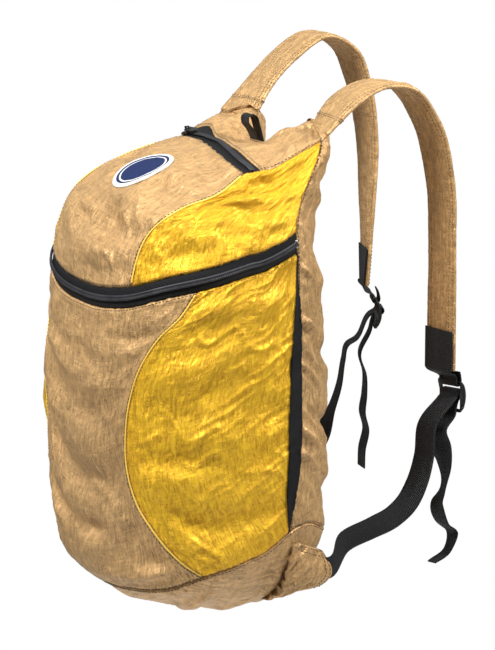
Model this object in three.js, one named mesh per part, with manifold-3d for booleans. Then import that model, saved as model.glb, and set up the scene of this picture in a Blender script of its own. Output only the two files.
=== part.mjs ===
// A packable daypack of thin nylon, filled and held up as it is worn.
// X runs across the bag, Y from its front to the wearer's back, Z up. Lengths are millimetres.
// The bag is one closed form cut along its seams into panels, each a thin wall of cloth. A place on the form
// is a turn in degrees from the front, positive towards +X, and a reach, the length over the cloth from the
// top of the bag down to it.
import * as THREE from 'three';
import { mergeVertices } from 'three/addons/utils/BufferGeometryUtils.js';
import Module from 'manifold-3d';

const wasm = await Module();
wasm.setup();

// Driving sizes of the bag
const BAG_HEIGHT = 391;
const BAG_WIDTH = 270;
const BAG_DEPTH = 210;
const SQUARENESS = 2.7;
const HORN_RISE = 27;
const HORN_REACH = 25;

// Walls, bands and the gap that neighbours keep
const CLOTH = 1.5;
const GAP = 0.4;
const ZIP_WIDTH = 17;
const TOP_ZIP_WIDTH = 16;
const COIL_WIDTH = 5;
const COIL_HEIGHT = 1.3;
const COIL_GAP = 0.6;
const PATCH_DIAMETER = 55;
const PATCH_THICKNESS = 1.2;
const SIDE_TAPE_WIDTH = 9;
const TAPE_THICKNESS = 0.9;

// Straps and webbing
const STRAP_WIDTH = 49;
const STRAP_TIP_WIDTH = 38;
const STRAP_THICKNESS = 4;
const WEBBING_WIDTH = 20;
const WEBBING_THICKNESS = 1.3;
const SLEEVE_LENGTH = 34;
const HAUL_WIDTH = 15;
const HAUL_HEIGHT = 24;
const HAUL_LEAN = 11;
const TAB_THICKNESS = 1.6;

// Ladder lock: outer height, bar section, bow of its side, side rail and the webbing's play between the rails
const LOCK_HEIGHT = 28;
const LOCK_BAR = 2.4;
const LOCK_BOW = 5;
const LOCK_RAIL = 3;
const LOCK_PLAY = 0.7;

// Zip sliders and their pulls
const SLIDER_LENGTH = 12;
const SLIDER_WIDTH = 9;
const BRIDGE_WIDTH = 2;
const BRIDGE_LENGTH = 9.6;
const BRIDGE_WALL = 1;
const PULL_LENGTH = 22;
const PULL_WIDTH = 6.5;
const PULL_THICKNESS = 1.4;
const PULL_DROOP = 4;
const PULL_PLAY = 0.5;

const HALF_WIDTH = BAG_WIDTH / 2;
const HALF_DEPTH = BAG_DEPTH / 2;
const LENGTH_OF_DEGREE = (Math.PI * (HALF_WIDTH + HALF_DEPTH)) / 360;

// Level sections of the bag. station counts from the middle of the base to the top; up is a share of the
// bag's height, half of its half width, front and back of its half depth.
const SECTIONS = [
  { station: 0.0, up: 0, half: 0, front: 0, back: 0 },
  { station: 0.06, up: 0.003, half: 0.34, front: -0.4, back: 0.4 },
  { station: 0.12, up: 0.018, half: 0.667, front: -0.705, back: 0.705 },
  { station: 0.18, up: 0.056, half: 0.86, front: -0.876, back: 0.876 },
  { station: 0.24, up: 0.115, half: 0.948, front: -0.962, back: 0.952 },
  { station: 0.34, up: 0.269, half: 0.993, front: -1.01, back: 0.99 },
  { station: 0.45, up: 0.46, half: 1.0, front: -1.02, back: 0.981 },
  { station: 0.55, up: 0.627, half: 0.985, front: -0.99, back: 0.952 },
  { station: 0.63, up: 0.742, half: 0.963, front: -0.952, back: 0.914 },
  { station: 0.71, up: 0.831, half: 0.933, front: -0.867, back: 0.876 },
  { station: 0.79, up: 0.895, half: 0.874, front: -0.705, back: 0.838 },
  { station: 0.86, up: 0.944, half: 0.77, front: -0.419, back: 0.8 },
  { station: 0.92, up: 0.974, half: 0.622, front: -0.095, back: 0.743 },
  { station: 0.96, up: 0.992, half: 0.4, front: 0.133, back: 0.629 },
  { station: 1.0, up: 1, half: 0, front: 0.362, back: 0.362 },
];

// Seams. up is a share of the bag's height, turn is in degrees.
const BASE_SEAM = [
  { turn: 0, up: 0.043 },
  { turn: 26, up: 0.061 },
  { turn: 52, up: 0.082 },
  { turn: 70, up: 0.113 },
  { turn: 89, up: 0.143 },
  { turn: 101, up: 0.189 },
  { turn: 140, up: 0.16 },
  { turn: 180, up: 0.15 },
];
const ZIP_LINE = [
  { turn: -110, up: 0.846 },
  { turn: -82, up: 0.805 },
  { turn: -52, up: 0.775 },
  { turn: -23, up: 0.737 },
  { turn: 0, up: 0.716 },
  { turn: 24, up: 0.726 },
  { turn: 52, up: 0.76 },
  { turn: 82, up: 0.79 },
  { turn: 110, up: 0.836 },
];
const LOWER_ARC = [
  { up: 0.143, turn: 60 },
  { up: 0.184, turn: 50 },
  { up: 0.22, turn: 43 },
  { up: 0.261, turn: 36 },
  { up: 0.35, turn: 30 },
  { up: 0.43, turn: 30 },
  { up: 0.537, turn: 35 },
  { up: 0.634, turn: 48 },
  { up: 0.68, turn: 59 },
];
const UPPER_ARC = [
  { up: 0.777, turn: 32 },
  { up: 0.844, turn: 36 },
  { up: 0.893, turn: 48 },
  { up: 0.931, turn: 69 },
];
const BACK_SEAM = [
  { up: 0.35, turn: 104 },
  { up: 0.55, turn: 106 },
];
// The ridge behind the yoke, given at equal turns on both sides of the middle
const RIDGE = [
  { turn: 119, station: 0.886 },
  { turn: 135, station: 0.912 },
  { turn: 150, station: 0.916 },
  { turn: 165, station: 0.935 },
  { turn: 180, station: 0.95 },
];
// Middle line of the top zip from its far end to its near end, as shares of half the width and depth
const TOP_ZIP_LINE = [
  { across: -0.64, back: 0.35 },
  { across: -0.44, back: 0.34 },
  { across: -0.22, back: 0.31 },
  { across: 0, back: 0.26 },
  { across: 0.28, back: 0.18 },
  { across: 0.53, back: 0.135 },
  { across: 0.7, back: 0.14 },
];
// Corner tab that carries the lower webbing. along runs down the tab; the edge on the bag and the free edge
// are at heights inner and outer, and the free edge stands off the cloth by off, a share of the half depth.
const TAB_TURNS = { inner: 103, outer: 128 };
const CORNER_TAB = [
  { along: 0, inner: 0.17, outer: 0.12, off: 0.02 },
  { along: 0.5, inner: 0.09, outer: 0.077, off: 0.17 },
  { along: 1, inner: 0.02, outer: 0.04, off: 0.19 },
];
const PATCH_PLACE = { across: 0.02, back: -0.39 };

// Routes chosen by hand for the straps and the webbing. across, back and up are shares of half the width, half
// the depth and the height; turn and tilt set the direction of the band's width, in degrees from +X.
const STRAP_ROUTES = {
  right: [
    { across: 0.548, back: 1.086, up: 1.092, turn: 0 },
    { across: 0.548, back: 1.362, up: 1.123, turn: 0 },
    { across: 0.548, back: 1.6, up: 1.115, turn: 0 },
    { across: 0.548, back: 1.848, up: 1.038, turn: 0 },
    { across: 0.548, back: 2.0, up: 0.9, turn: 0 },
    { across: 0.54, back: 2.038, up: 0.742, turn: 0 },
    { across: 0.533, back: 2.048, up: 0.604, turn: 4 },
    { across: 0.533, back: 2.05, up: 0.475, turn: 8 },
  ],
  left: [
    { across: -0.548, back: 1.086, up: 1.1, turn: 0 },
    { across: -0.548, back: 1.305, up: 1.153, turn: 0 },
    { across: -0.548, back: 1.629, up: 1.197, turn: 0 },
    { across: -0.548, back: 1.905, up: 1.159, turn: 0 },
    { across: -0.548, back: 2.029, up: 1.087, turn: 0 },
    { across: -0.548, back: 2.124, up: 0.967, turn: -4 },
    { across: -0.54, back: 2.133, up: 0.8, turn: -12 },
    { across: -0.533, back: 2.124, up: 0.706, turn: -18 },
    { across: -0.533, back: 2.115, up: 0.605, turn: -24 },
  ],
};
const LOCKS = {
  right: { across: 0.533, back: 2.14, up: 0.405, turn: 22 },
  left: { across: -0.533, back: 2.21, up: 0.53, turn: -24 },
};
const WEBBING_ROUTES = {
  right: [
    { across: 0.696, back: 1.01, up: 0.118, turn: 90, tilt: -60 },
    { across: 0.667, back: 1.286, up: 0.136, turn: 80, tilt: -65 },
    { across: 0.637, back: 1.514, up: 0.151, turn: 60, tilt: -55 },
    { across: 0.615, back: 1.667, up: 0.176, turn: 45, tilt: -38 },
    { across: 0.593, back: 1.781, up: 0.217, turn: 38, tilt: -14 },
    { across: 0.57, back: 1.867, up: 0.276, turn: 32, tilt: 0 },
    { across: 0.556, back: 1.905, up: 0.345, turn: 27, tilt: 0 },
  ],
  left: [
    { across: -0.72, back: 1.05, up: 0.11, turn: 90, tilt: -60 },
    { across: -0.715, back: 1.4, up: 0.15, turn: 80, tilt: -50 },
    { across: -0.69, back: 1.75, up: 0.215, turn: 30, tilt: -30 },
    { across: -0.652, back: 1.876, up: 0.297, turn: -10, tilt: 0 },
    { across: -0.622, back: 1.924, up: 0.353, turn: -16, tilt: 0 },
    { across: -0.593, back: 1.943, up: 0.417, turn: -20, tilt: 0 },
    { across: -0.57, back: 1.965, up: 0.455, turn: -22, tilt: 0 },
    { across: -0.556, back: 2.04, up: 0.468, turn: -24, tilt: 0 },
  ],
};
const TAIL_ROUTES = {
  right: [
    { across: 0.57, back: 1.995, up: 0.332, turn: 25, tilt: 0 },
    { across: 0.57, back: 2.03, up: 0.292, turn: 40, tilt: 0 },
    { across: 0.57, back: 2.067, up: 0.251, turn: 10, tilt: 0 },
    { across: 0.563, back: 2.057, up: 0.184, turn: -20, tilt: 0 },
    { across: 0.556, back: 2.02, up: 0.16, turn: 0, tilt: 10 },
    { across: 0.556, back: 2.067, up: 0.11, turn: 10, tilt: 0 },
    { across: 0.548, back: 2.17, up: 0.084, turn: 0, tilt: 10 },
    { across: 0.54, back: 2.133, up: 0.038, turn: -15, tilt: 5 },
    { across: 0.533, back: 1.99, up: 0.016, turn: -20, tilt: 5 },
  ],
  left: [
    { across: -0.54, back: 2.07, up: 0.43, turn: -24, tilt: 0 },
    { across: -0.54, back: 2.124, up: 0.38, turn: -20, tilt: 0 },
    { across: -0.54, back: 2.124, up: 0.33, turn: -16, tilt: 0 },
    { across: -0.54, back: 2.105, up: 0.286, turn: -12, tilt: 0 },
    { across: -0.54, back: 2.143, up: 0.243, turn: -12, tilt: 0 },
    { across: -0.54, back: 2.105, up: 0.194, turn: -10, tilt: 0 },
    { across: -0.54, back: 2.1, up: 0.151, turn: -10, tilt: 0 },
  ],
};
// Where a wearer's shoulders carry the two straps
const SHOULDER = { across: 0, back: 1.55, up: 1.145 };

const TURN_AT = { arcFoot: 70, arcTop: 67, upperArcFoot: 31, backSeamFoot: 101, zipEnd: 110 };

// Broad dents and swells of the filled cloth. up and tall are shares of the height, turn and wide are degrees,
// lean tips the fold's long side from level, depth is a share of the depth, negative inwards.
const FOLDS = [
  { turn: 72, up: 0.53, wide: 30, tall: 0.03, lean: 8, depth: -0.03 },
  { turn: 66, up: 0.37, wide: 24, tall: 0.035, lean: -10, depth: -0.022 },
  { turn: 80, up: 0.24, wide: 20, tall: 0.03, lean: 12, depth: -0.022 },
  { turn: 10, up: 0.3, wide: 26, tall: 0.04, lean: -18, depth: -0.022 },
  { turn: -30, up: 0.18, wide: 20, tall: 0.035, lean: 14, depth: -0.03 },
  { turn: -35, up: 0.48, wide: 22, tall: 0.05, lean: 10, depth: 0.02 },
  { turn: 98, up: 0.76, wide: 8, tall: 0.05, lean: 0, depth: -0.03 },
  { turn: 128, up: 0.62, wide: 10, tall: 0.05, lean: 30, depth: -0.03 },
  { turn: 132, up: 0.3, wide: 12, tall: 0.04, lean: 34, depth: -0.035 },
  { turn: 180, up: 0.5, wide: 40, tall: 0.12, lean: 0, depth: -0.03 },
];

// How finely each seam is divided
const COLUMNS = { front: 14, side: 8, back: 12, lidFront: 8, lidSide: 10, zipEnd: 2 };
const ROWS = { lower: 14, lid: 8, base: 5 };

const rad = THREE.MathUtils.degToRad;
const vec = (x, y, z) => new THREE.Vector3(x, y, z);
const last = (list) => list[list.length - 1];
const mix = (a, b, share) => a + (b - a) * share;

// Smooth curve through a table's rows: cubic between rows, with the slope at a row taken from its neighbours
function slopes(xs, ys) {
  return xs.map((x, i) => {
    const before = i > 0 ? (ys[i] - ys[i - 1]) / (x - xs[i - 1]) : null;
    const after = i < xs.length - 1 ? (ys[i + 1] - ys[i]) / (xs[i + 1] - x) : null;
    if (before === null) return after;
    if (after === null) return before;
    const share = (x - xs[i - 1]) / (xs[i + 1] - xs[i - 1]);
    return mix(before, after, share);
  });
}

function smooth(xs, ys, tangents, x) {
  let i = 0;
  while (i < xs.length - 2 && x >= xs[i + 1]) i++;
  const h = xs[i + 1] - xs[i];
  const s = (x - xs[i]) / h;
  const s2 = s * s;
  const s3 = s2 * s;
  return (
    (2 * s3 - 3 * s2 + 1) * ys[i] +
    (s3 - 2 * s2 + s) * h * tangents[i] +
    (3 * s2 - 2 * s3) * ys[i + 1] +
    (s3 - s2) * h * tangents[i + 1]
  );
}

function curve(rows, from, to) {
  const xs = rows.map((row) => row[from]);
  const ys = rows.map((row) => row[to]);
  const tangents = slopes(xs, ys);
  return (x) => smooth(xs, ys, tangents, x);
}

const sectionUp = curve(SECTIONS, 'station', 'up');
const sectionHalf = curve(SECTIONS, 'station', 'half');
const sectionFront = curve(SECTIONS, 'station', 'front');
const sectionBack = curve(SECTIONS, 'station', 'back');

// Finds where a rising function of 0 to 1 takes a value
function seek(rising, value) {
  let low = 0;
  let high = 1;
  for (let i = 0; i < 40; i++) {
    const middle = (low + high) / 2;
    if (rising(middle) < value) low = middle;
    else high = middle;
  }
  return (low + high) / 2;
}

// Length over the cloth from the top, at each station, measured on the mean section
const REACH_STEPS = 400;
const reaches = [0];
for (let i = REACH_STEPS; i > 0; i--) {
  const size = (station) => {
    const depth = ((sectionBack(station) - sectionFront(station)) * HALF_DEPTH) / 2;
    return (sectionHalf(station) * HALF_WIDTH + depth) / 2;
  };
  const [a, b] = [i / REACH_STEPS, (i - 1) / REACH_STEPS];
  const rise = (sectionUp(a) - sectionUp(b)) * BAG_HEIGHT;
  reaches.push(last(reaches) + Math.hypot(size(a) - size(b), rise));
}
const FULL_REACH = last(reaches);

function reachAt(station) {
  const place = (1 - station) * REACH_STEPS;
  const i = Math.min(Math.floor(place), REACH_STEPS - 1);
  return mix(reaches[i], reaches[i + 1], place - i);
}

function stationAt(reach) {
  return 1 - seek((share) => reachAt(1 - share), reach);
}

const stationAtUp = (up) => seek(sectionUp, up);

// The plain form: level sections with rounded corners, drawn up into a horn at each strap
function plainForm(turn, reach) {
  const station = stationAt(reach);
  const power = (value) => Math.sign(value) * Math.abs(value) ** (2 / SQUARENESS);
  const front = sectionFront(station) * HALF_DEPTH;
  const back = sectionBack(station) * HALF_DEPTH;
  const point = vec(
    sectionHalf(station) * HALF_WIDTH * power(Math.sin(rad(turn))),
    (front + back) / 2 - ((back - front) / 2) * power(Math.cos(rad(turn))),
    sectionUp(station) * BAG_HEIGHT,
  );
  const step = THREE.MathUtils.smoothstep;
  const sideways = step(Math.abs(point.x), 0.08 * HALF_WIDTH, 0.42 * HALF_WIDTH);
  const backwards = step(point.y, 0.28 * HALF_DEPTH, 0.66 * HALF_DEPTH);
  const upwards = step(point.z, 0.86 * BAG_HEIGHT, 0.95 * BAG_HEIGHT);
  const pull = sideways * backwards * upwards;
  const outwards = step(Math.abs(point.x), 0.5 * HALF_WIDTH, 0.7 * HALF_WIDTH);
  point.x += Math.sign(point.x) * outwards * pull * HORN_REACH * 0.3;
  point.y += pull * HORN_REACH;
  point.z += pull * HORN_RISE;
  return point;
}

function normalOf(form, turn, reach) {
  const level = Math.min(reach, FULL_REACH - 1);
  const side = form(turn + 0.5, level).sub(form(turn - 0.5, level));
  const down = form(turn, level + 0.5).sub(form(turn, level - 0.5));
  return down.cross(side).normalize();
}

function foldDepth(turn, up) {
  return FOLDS.reduce((sum, fold) => {
    const along = (turn - fold.turn) * LENGTH_OF_DEGREE;
    const rise = (up - fold.up) * BAG_HEIGHT;
    const lean = rad(fold.lean);
    const u = (along * Math.cos(lean) + rise * Math.sin(lean)) / (fold.wide * LENGTH_OF_DEGREE);
    const w = (rise * Math.cos(lean) - along * Math.sin(lean)) / (fold.tall * BAG_HEIGHT);
    return sum + fold.depth * HALF_DEPTH * Math.exp(-u * u - w * w);
  }, 0);
}

// The cloth's outer face, with its dents and swells. turn may run past 180; folds are placed by turns from
// -180 to 180 and by 180 itself for the middle of the back.
function cloth(turn, reach) {
  const wrapped = turn > 180 ? turn - 360 : turn;
  const up = sectionUp(stationAt(reach));
  const depth = foldDepth(wrapped, up) + (wrapped < 0 ? foldDepth(wrapped + 360, up) : 0);
  return plainForm(turn, reach).addScaledVector(normalOf(plainForm, turn, reach), depth);
}

const placeAtUp = (turn, up) => ({ turn, reach: reachAt(stationAtUp(up)) });
const atPlace = (place) => cloth(place.turn, place.reach);
const normalAt = (place) => normalOf(cloth, place.turn, place.reach);

// The place on the upper bag that lies straight above a point of the plan
function overhead(x, y) {
  const inside = (station) => {
    const half = sectionHalf(station) * HALF_WIDTH;
    const front = sectionFront(station) * HALF_DEPTH;
    const back = sectionBack(station) * HALF_DEPTH;
    const side = Math.abs(x / half) ** SQUARENESS;
    return side + Math.abs((2 * y - front - back) / (back - front)) ** SQUARENESS;
  };
  const station = mix(0.6, 0.9995, seek((share) => inside(mix(0.6, 0.9995, share)), 1));
  const half = sectionHalf(station) * HALF_WIDTH;
  const front = sectionFront(station) * HALF_DEPTH;
  const back = sectionBack(station) * HALF_DEPTH;
  const power = (value) => Math.sign(value) * Math.abs(value) ** (SQUARENESS / 2);
  const sine = power(x / half);
  const cosine = -power((2 * y - front - back) / (back - front));
  return { turn: THREE.MathUtils.radToDeg(Math.atan2(sine, cosine)), reach: reachAt(station) };
}

// Divides a chain of places into equal steps along a smooth line through them
function divide(places, steps) {
  const along = [0];
  for (let i = 1; i < places.length; i++) {
    const sideways = (places[i].turn - places[i - 1].turn) * LENGTH_OF_DEGREE;
    along.push(last(along) + Math.hypot(sideways, places[i].reach - places[i - 1].reach));
  }
  const rows = places.map((place, i) => ({ along: along[i] / last(along), ...place }));
  const turn = curve(rows, 'along', 'turn');
  const reach = curve(rows, 'along', 'reach');
  return Array.from({ length: steps + 1 }, (_, i) => {
    const share = i / steps;
    return { turn: turn(share), reach: reach(share) };
  });
}

const mirror = (places) => places.map(({ turn, reach }) => ({ turn: -turn, reach })).reverse();

// A patch between four seams that meet at their ends. Its places are blended from the seams, on the flattened
// top of the bag or by turn and reach.
const flatten = ({ turn, reach }) => [reach * Math.sin(rad(turn)), -reach * Math.cos(rad(turn))];
const unflatten = ([x, y]) => ({
  turn: THREE.MathUtils.radToDeg(Math.atan2(x, -y)),
  reach: Math.hypot(x, y),
});

function patch({ bottom, top, left, right, flat = false }) {
  const open = flat ? flatten : ({ turn, reach }) => [turn, reach];
  const close = flat ? unflatten : ([turn, reach]) => ({ turn, reach });
  const [b, t, l, r] = [bottom, top, left, right].map((seam) => seam.map(open));
  const columns = bottom.length - 1;
  const rows = left.length - 1;
  const places = [];
  for (let j = 0; j <= rows; j++) {
    for (let i = 0; i <= columns; i++) {
      const [s, u] = [i / columns, j / rows];
      const pair = [0, 1].map((k) => {
        const ruled = mix(b[i][k], t[i][k], u) + mix(l[j][k], r[j][k], s);
        return ruled - mix(mix(b[0][k], b[columns][k], s), mix(t[0][k], t[columns][k], s), u);
      });
      places.push(close(pair));
    }
  }
  return { places, triangles: gridTriangles(columns, rows) };
}

function gridTriangles(columns, rows) {
  const triangles = [];
  for (let j = 0; j < rows; j++) {
    for (let i = 0; i < columns; i++) {
      const a = j * (columns + 1) + i;
      const c = a + columns + 1;
      triangles.push([a, a + 1, c + 1], [a, c + 1, c]);
    }
  }
  return triangles;
}

// Share of a seam's flattened length at each of its places
function lengthShares(seam) {
  const lengths = [0];
  for (let i = 1; i < seam.length; i++) {
    const [a, b] = [flatten(seam[i - 1]), flatten(seam[i])];
    lengths.push(last(lengths) + Math.hypot(b[0] - a[0], b[1] - a[1]));
  }
  return lengths.map((length) => length / last(lengths));
}

function pointOn(seam, shares, share) {
  let k = 0;
  while (k < seam.length - 2 && share > shares[k + 1]) k++;
  const [a, b] = [flatten(seam[k]), flatten(seam[k + 1])];
  const part = (share - shares[k]) / (shares[k + 1] - shares[k]);
  return [mix(a[0], b[0], part), mix(a[1], b[1], part)];
}

// A band between two seams that may be divided differently, with a line along its middle
function bandPatch(lower, upper, steps) {
  const [low, high] = [lower, upper].map(lengthShares);
  const middle = Array.from({ length: steps + 1 }, (_, i) => {
    const [a, b] = [pointOn(lower, low, i / steps), pointOn(upper, high, i / steps)];
    return unflatten([(a[0] + b[0]) / 2, (a[1] + b[1]) / 2]);
  });
  const centre = lengthShares(middle);
  const triangles = [
    ...stripTriangles(0, low, lower.length, centre),
    ...stripTriangles(lower.length, centre, lower.length + middle.length, high),
  ];
  return { places: [...lower, ...middle, ...upper], triangles, middle };
}

// Triangles between two rows of places, given each row's first index and its length shares
function stripTriangles(lowStart, low, highStart, high) {
  const triangles = [];
  let [i, j] = [0, 0];
  while (i < low.length - 1 || j < high.length - 1) {
    if (j === high.length - 1 || (i < low.length - 1 && low[i + 1] <= high[j + 1])) {
      triangles.push([lowStart + i, lowStart + i + 1, highStart + j]);
      i++;
    } else {
      triangles.push([lowStart + i, highStart + j + 1, highStart + j]);
      j++;
    }
  }
  return triangles;
}

// Directed edges that only one triangle has, as a map from each vertex to the next
function borderOf(triangles) {
  const edges = new Set();
  const key = (a, b) => `${a},${b}`;
  const each = (visit) => triangles.forEach(([a, b, c]) => [[a, b], [b, c], [c, a]].forEach(visit));
  each(([a, b]) => edges.add(key(a, b)));
  const next = new Map();
  each(([a, b]) => {
    if (!edges.has(key(b, a))) next.set(a, b);
  });
  return next;
}

const MATERIALS = {
  tan: { color: 0xb8946a, roughness: 0.5, metalness: 0 },
  yellow: { color: 0xf2b81e, roughness: 0.5, metalness: 0 },
  black: { color: 0x17171a, roughness: 0.8, metalness: 0 },
  coil: { color: 0x202024, roughness: 0.5, metalness: 0 },
  plastic: { color: 0x1b1b1f, roughness: 0.4, metalness: 0 },
  navy: { color: 0x27345f, roughness: 0.6, metalness: 0 },
};

const bag = new THREE.Group();

function addMesh(name, points, triangles, material) {
  const geometry = new THREE.BufferGeometry();
  const position = new THREE.Float32BufferAttribute(points.flatMap((p) => [p.x, p.y, p.z]), 3);
  geometry.setAttribute('position', position);
  geometry.setIndex(triangles.flat());
  geometry.computeVertexNormals();
  return addSolid(name, geometry, material);
}

// A closed wall over a patch. Its outer face lies lift above the cloth, and further by a place's own shift;
// its border is drawn in by inset, and the wall is thick inwards.
function addWall(name, { places, triangles }, material, options = {}) {
  const { lift = 0, inset = GAP / 2, thick = CLOTH } = options;
  const normals = places.map(normalAt);
  const outer = places.map((place, i) => {
    const point = atPlace(place).addScaledVector(normals[i], lift);
    return place.shift ? point.add(place.shift) : point;
  });
  const next = borderOf(triangles);
  const before = new Map([...next].map(([a, b]) => [b, a]));
  const inwards = (a, b, i) => normals[i].clone().cross(outer[b].clone().sub(outer[a])).normalize();
  const shifts = [...next].map(([i, after]) => {
    const one = inwards(before.get(i), i, i);
    const two = inwards(i, after, i);
    return [i, one.clone().add(two).multiplyScalar(inset / (1 + one.dot(two)))];
  });
  shifts.forEach(([i, shift]) => outer[i].add(shift));
  const inner = outer.map((point, i) => point.clone().addScaledVector(normals[i], -thick));
  const n = outer.length;
  const faces = [...triangles, ...triangles.map(([a, b, c]) => [c + n, b + n, a + n])];
  for (const [a, b] of next) faces.push([b, a, a + n], [b, a + n, b + n]);
  return addMesh(name, [...outer, ...inner], faces, material);
}

// A flat band swept along frames. Each frame has a point, the direction of the band's width and its width.
function addBand(name, frames, thick, material, rounded = false) {
  const corners = rounded
    ? [[-0.5, 0], [-0.44, -0.42], [0, -0.5], [0.44, -0.42], [0.5, 0], [0.44, 0.42], [0, 0.5], [-0.44, 0.42]]
    : [[-0.5, -0.5], [0.5, -0.5], [0.5, 0.5], [-0.5, 0.5]];
  const points = [];
  frames.forEach((frame, i) => {
    const ahead = frames[Math.min(i + 1, frames.length - 1)].point;
    const behind = frames[Math.max(i - 1, 0)].point;
    const way = ahead.clone().sub(behind).normalize();
    const wide = frame.wide.clone().addScaledVector(way, -frame.wide.dot(way)).normalize();
    const up = way.clone().cross(wide);
    corners.forEach(([a, b]) => {
      const point = frame.point.clone().addScaledVector(wide, a * frame.width);
      points.push(point.addScaledVector(up, b * (frame.thick ?? thick)));
    });
  });
  const n = corners.length;
  const end = (frames.length - 1) * n;
  const faces = [];
  for (let i = 0; i < frames.length - 1; i++) {
    for (let k = 0; k < n; k++) {
      const [a, b] = [i * n + k, i * n + ((k + 1) % n)];
      faces.push([a, b, b + n], [a, b + n, a + n]);
    }
  }
  for (let k = 1; k < n - 1; k++) faces.push([0, k + 1, k], [end, end + k, end + k + 1]);
  return addMesh(name, points, faces, material);
}

// Smooth frames through rows of a place, the direction of the width there, the width, and how many steps the
// stretch after the row is divided into
function framesAlong(rows) {
  const along = [0];
  for (let i = 1; i < rows.length; i++) along.push(last(along) + rows[i].place.distanceTo(rows[i - 1].place));
  const xs = along.map((value) => value / last(along));
  const channel = (read) => {
    const ys = rows.map(read);
    const tangents = slopes(xs, ys);
    return (share) => smooth(xs, ys, tangents, share);
  };
  const [px, py, pz] = ['x', 'y', 'z'].map((k) => channel((row) => row.place[k]));
  const [sx, sy, sz] = ['x', 'y', 'z'].map((k) => channel((row) => row.side[k]));
  const width = channel((row) => row.width);
  const shares = rows.slice(1).flatMap((row, i) => {
    const steps = rows[i].steps ?? 1;
    return Array.from({ length: steps }, (_, k) => mix(xs[i], xs[i + 1], k / steps));
  });
  return [...shares, 1].map((share) => ({
    point: vec(px(share), py(share), pz(share)),
    wide: vec(sx(share), sy(share), sz(share)).normalize(),
    width: width(share),
  }));
}

// Joins closed geometries into one solid, or cuts the later ones away
function combine(how, geometries) {
  const solids = geometries.map((geometry) => {
    const bare = geometry.clone();
    bare.deleteAttribute('normal');
    bare.deleteAttribute('uv');
    const merged = mergeVertices(bare, 1e-4);
    const vertProperties = new Float32Array(merged.attributes.position.array);
    const triVerts = new Uint32Array(merged.index.array);
    return new wasm.Manifold(new wasm.Mesh({ numProp: 3, vertProperties, triVerts }));
  });
  const { vertProperties, triVerts } = solids.reduce((a, b) => a[how](b)).getMesh();
  const geometry = new THREE.BufferGeometry();
  geometry.setAttribute('position', new THREE.Float32BufferAttribute(vertProperties, 3));
  geometry.setIndex([...triVerts]);
  geometry.computeVertexNormals();
  return geometry;
}

function addSolid(name, geometry, material, parent = bag) {
  const mesh = new THREE.Mesh(geometry, new THREE.MeshStandardMaterial(MATERIALS[material]));
  mesh.name = name;
  parent.add(mesh);
  return mesh;
}

// Corners where seams meet
const zipUp = curve(ZIP_LINE, 'turn', 'up');
const baseUp = curve(BASE_SEAM, 'turn', 'up');
const zipTop = (turn) => placeAtUp(turn, zipUp(turn));
const zipFoot = (turn) => ({ turn, reach: zipTop(turn).reach + ZIP_WIDTH });
const basePlace = (turn) => placeAtUp(turn, baseUp(turn > 180 ? 360 - turn : Math.abs(turn)));
const topZipAt = (share) => {
  const rows = TOP_ZIP_LINE.map((row, i) => ({ share: i / (TOP_ZIP_LINE.length - 1), ...row }));
  const across = curve(rows, 'share', 'across')(share);
  return { x: across * HALF_WIDTH, y: curve(rows, 'share', 'back')(share) * HALF_DEPTH };
};
function topZipEdge(share, side) {
  const here = topZipAt(share);
  const ahead = topZipAt(Math.min(share + 0.01, 1));
  const behind = topZipAt(Math.max(share - 0.01, 0));
  const way = new THREE.Vector2(ahead.x - behind.x, ahead.y - behind.y).normalize();
  const out = (side * TOP_ZIP_WIDTH) / 2;
  return overhead(here.x - way.y * out, here.y + way.x * out);
}
const sample = (steps, place) => Array.from({ length: steps + 1 }, (_, i) => place(i / steps));
const range = (from, to, steps, place) => sample(steps, (share) => place(mix(from, to, share)));
const ridgeStation = curve(RIDGE, 'turn', 'station');
const ridgePlace = (turn) => ({ turn, reach: reachAt(ridgeStation(turn > 180 ? 360 - turn : turn)) });
const through = (start, rows, end) => [start, ...rows.map(({ turn, up }) => placeAtUp(turn, up)), end];
const flip = (rows) => rows.map(({ turn, up }) => ({ turn: -turn, up }));

// Seams of one side: sign is 1 for the +X side and -1 for the other
function sideSeams(sign) {
  const at = (turn) => sign * turn;
  const rows = (table) => (sign > 0 ? table : flip(table));
  const zipShare = sign > 0 ? 1 : 0;
  const zipFront = topZipEdge(zipShare, -1);
  const zipBack = topZipEdge(zipShare, 1);
  const tip = { turn: at(RIDGE[0].turn), reach: ridgePlace(RIDGE[0].turn).reach };
  const arcFoot = basePlace(at(TURN_AT.arcFoot));
  const backFoot = basePlace(at(TURN_AT.backSeamFoot));
  const zipLowEnd = zipFoot(at(TURN_AT.zipEnd));
  const zipHighEnd = zipTop(at(TURN_AT.zipEnd));
  const zipEndMiddle = { turn: zipLowEnd.turn, reach: (zipLowEnd.reach + zipHighEnd.reach) / 2 };
  const topEndMiddle = topZipMiddle(zipShare);
  return {
    zipFront,
    zipBack,
    tip,
    lowerArc: divide(through(arcFoot, rows(LOWER_ARC), zipFoot(at(TURN_AT.arcTop))), ROWS.lower),
    upperArc: divide(through(zipTop(at(TURN_AT.upperArcFoot)), rows(UPPER_ARC), zipFront), ROWS.lid),
    lowerBack: divide(through(backFoot, rows(BACK_SEAM), zipLowEnd), ROWS.lower),
    zipEnd: [zipLowEnd, zipEndMiddle, zipHighEnd],
    upperBack: divide([zipHighEnd, tip], ROWS.lid),
    topEnd: [zipFront, topEndMiddle, zipBack],
    yokeSide: flatDivide(zipBack, tip, COLUMNS.lidSide - COLUMNS.zipEnd),
  };
}

function topZipMiddle(share) {
  const [a, b] = [topZipEdge(share, -1), topZipEdge(share, 1)].map(flatten);
  return unflatten([(a[0] + b[0]) / 2, (a[1] + b[1]) / 2]);
}

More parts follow.
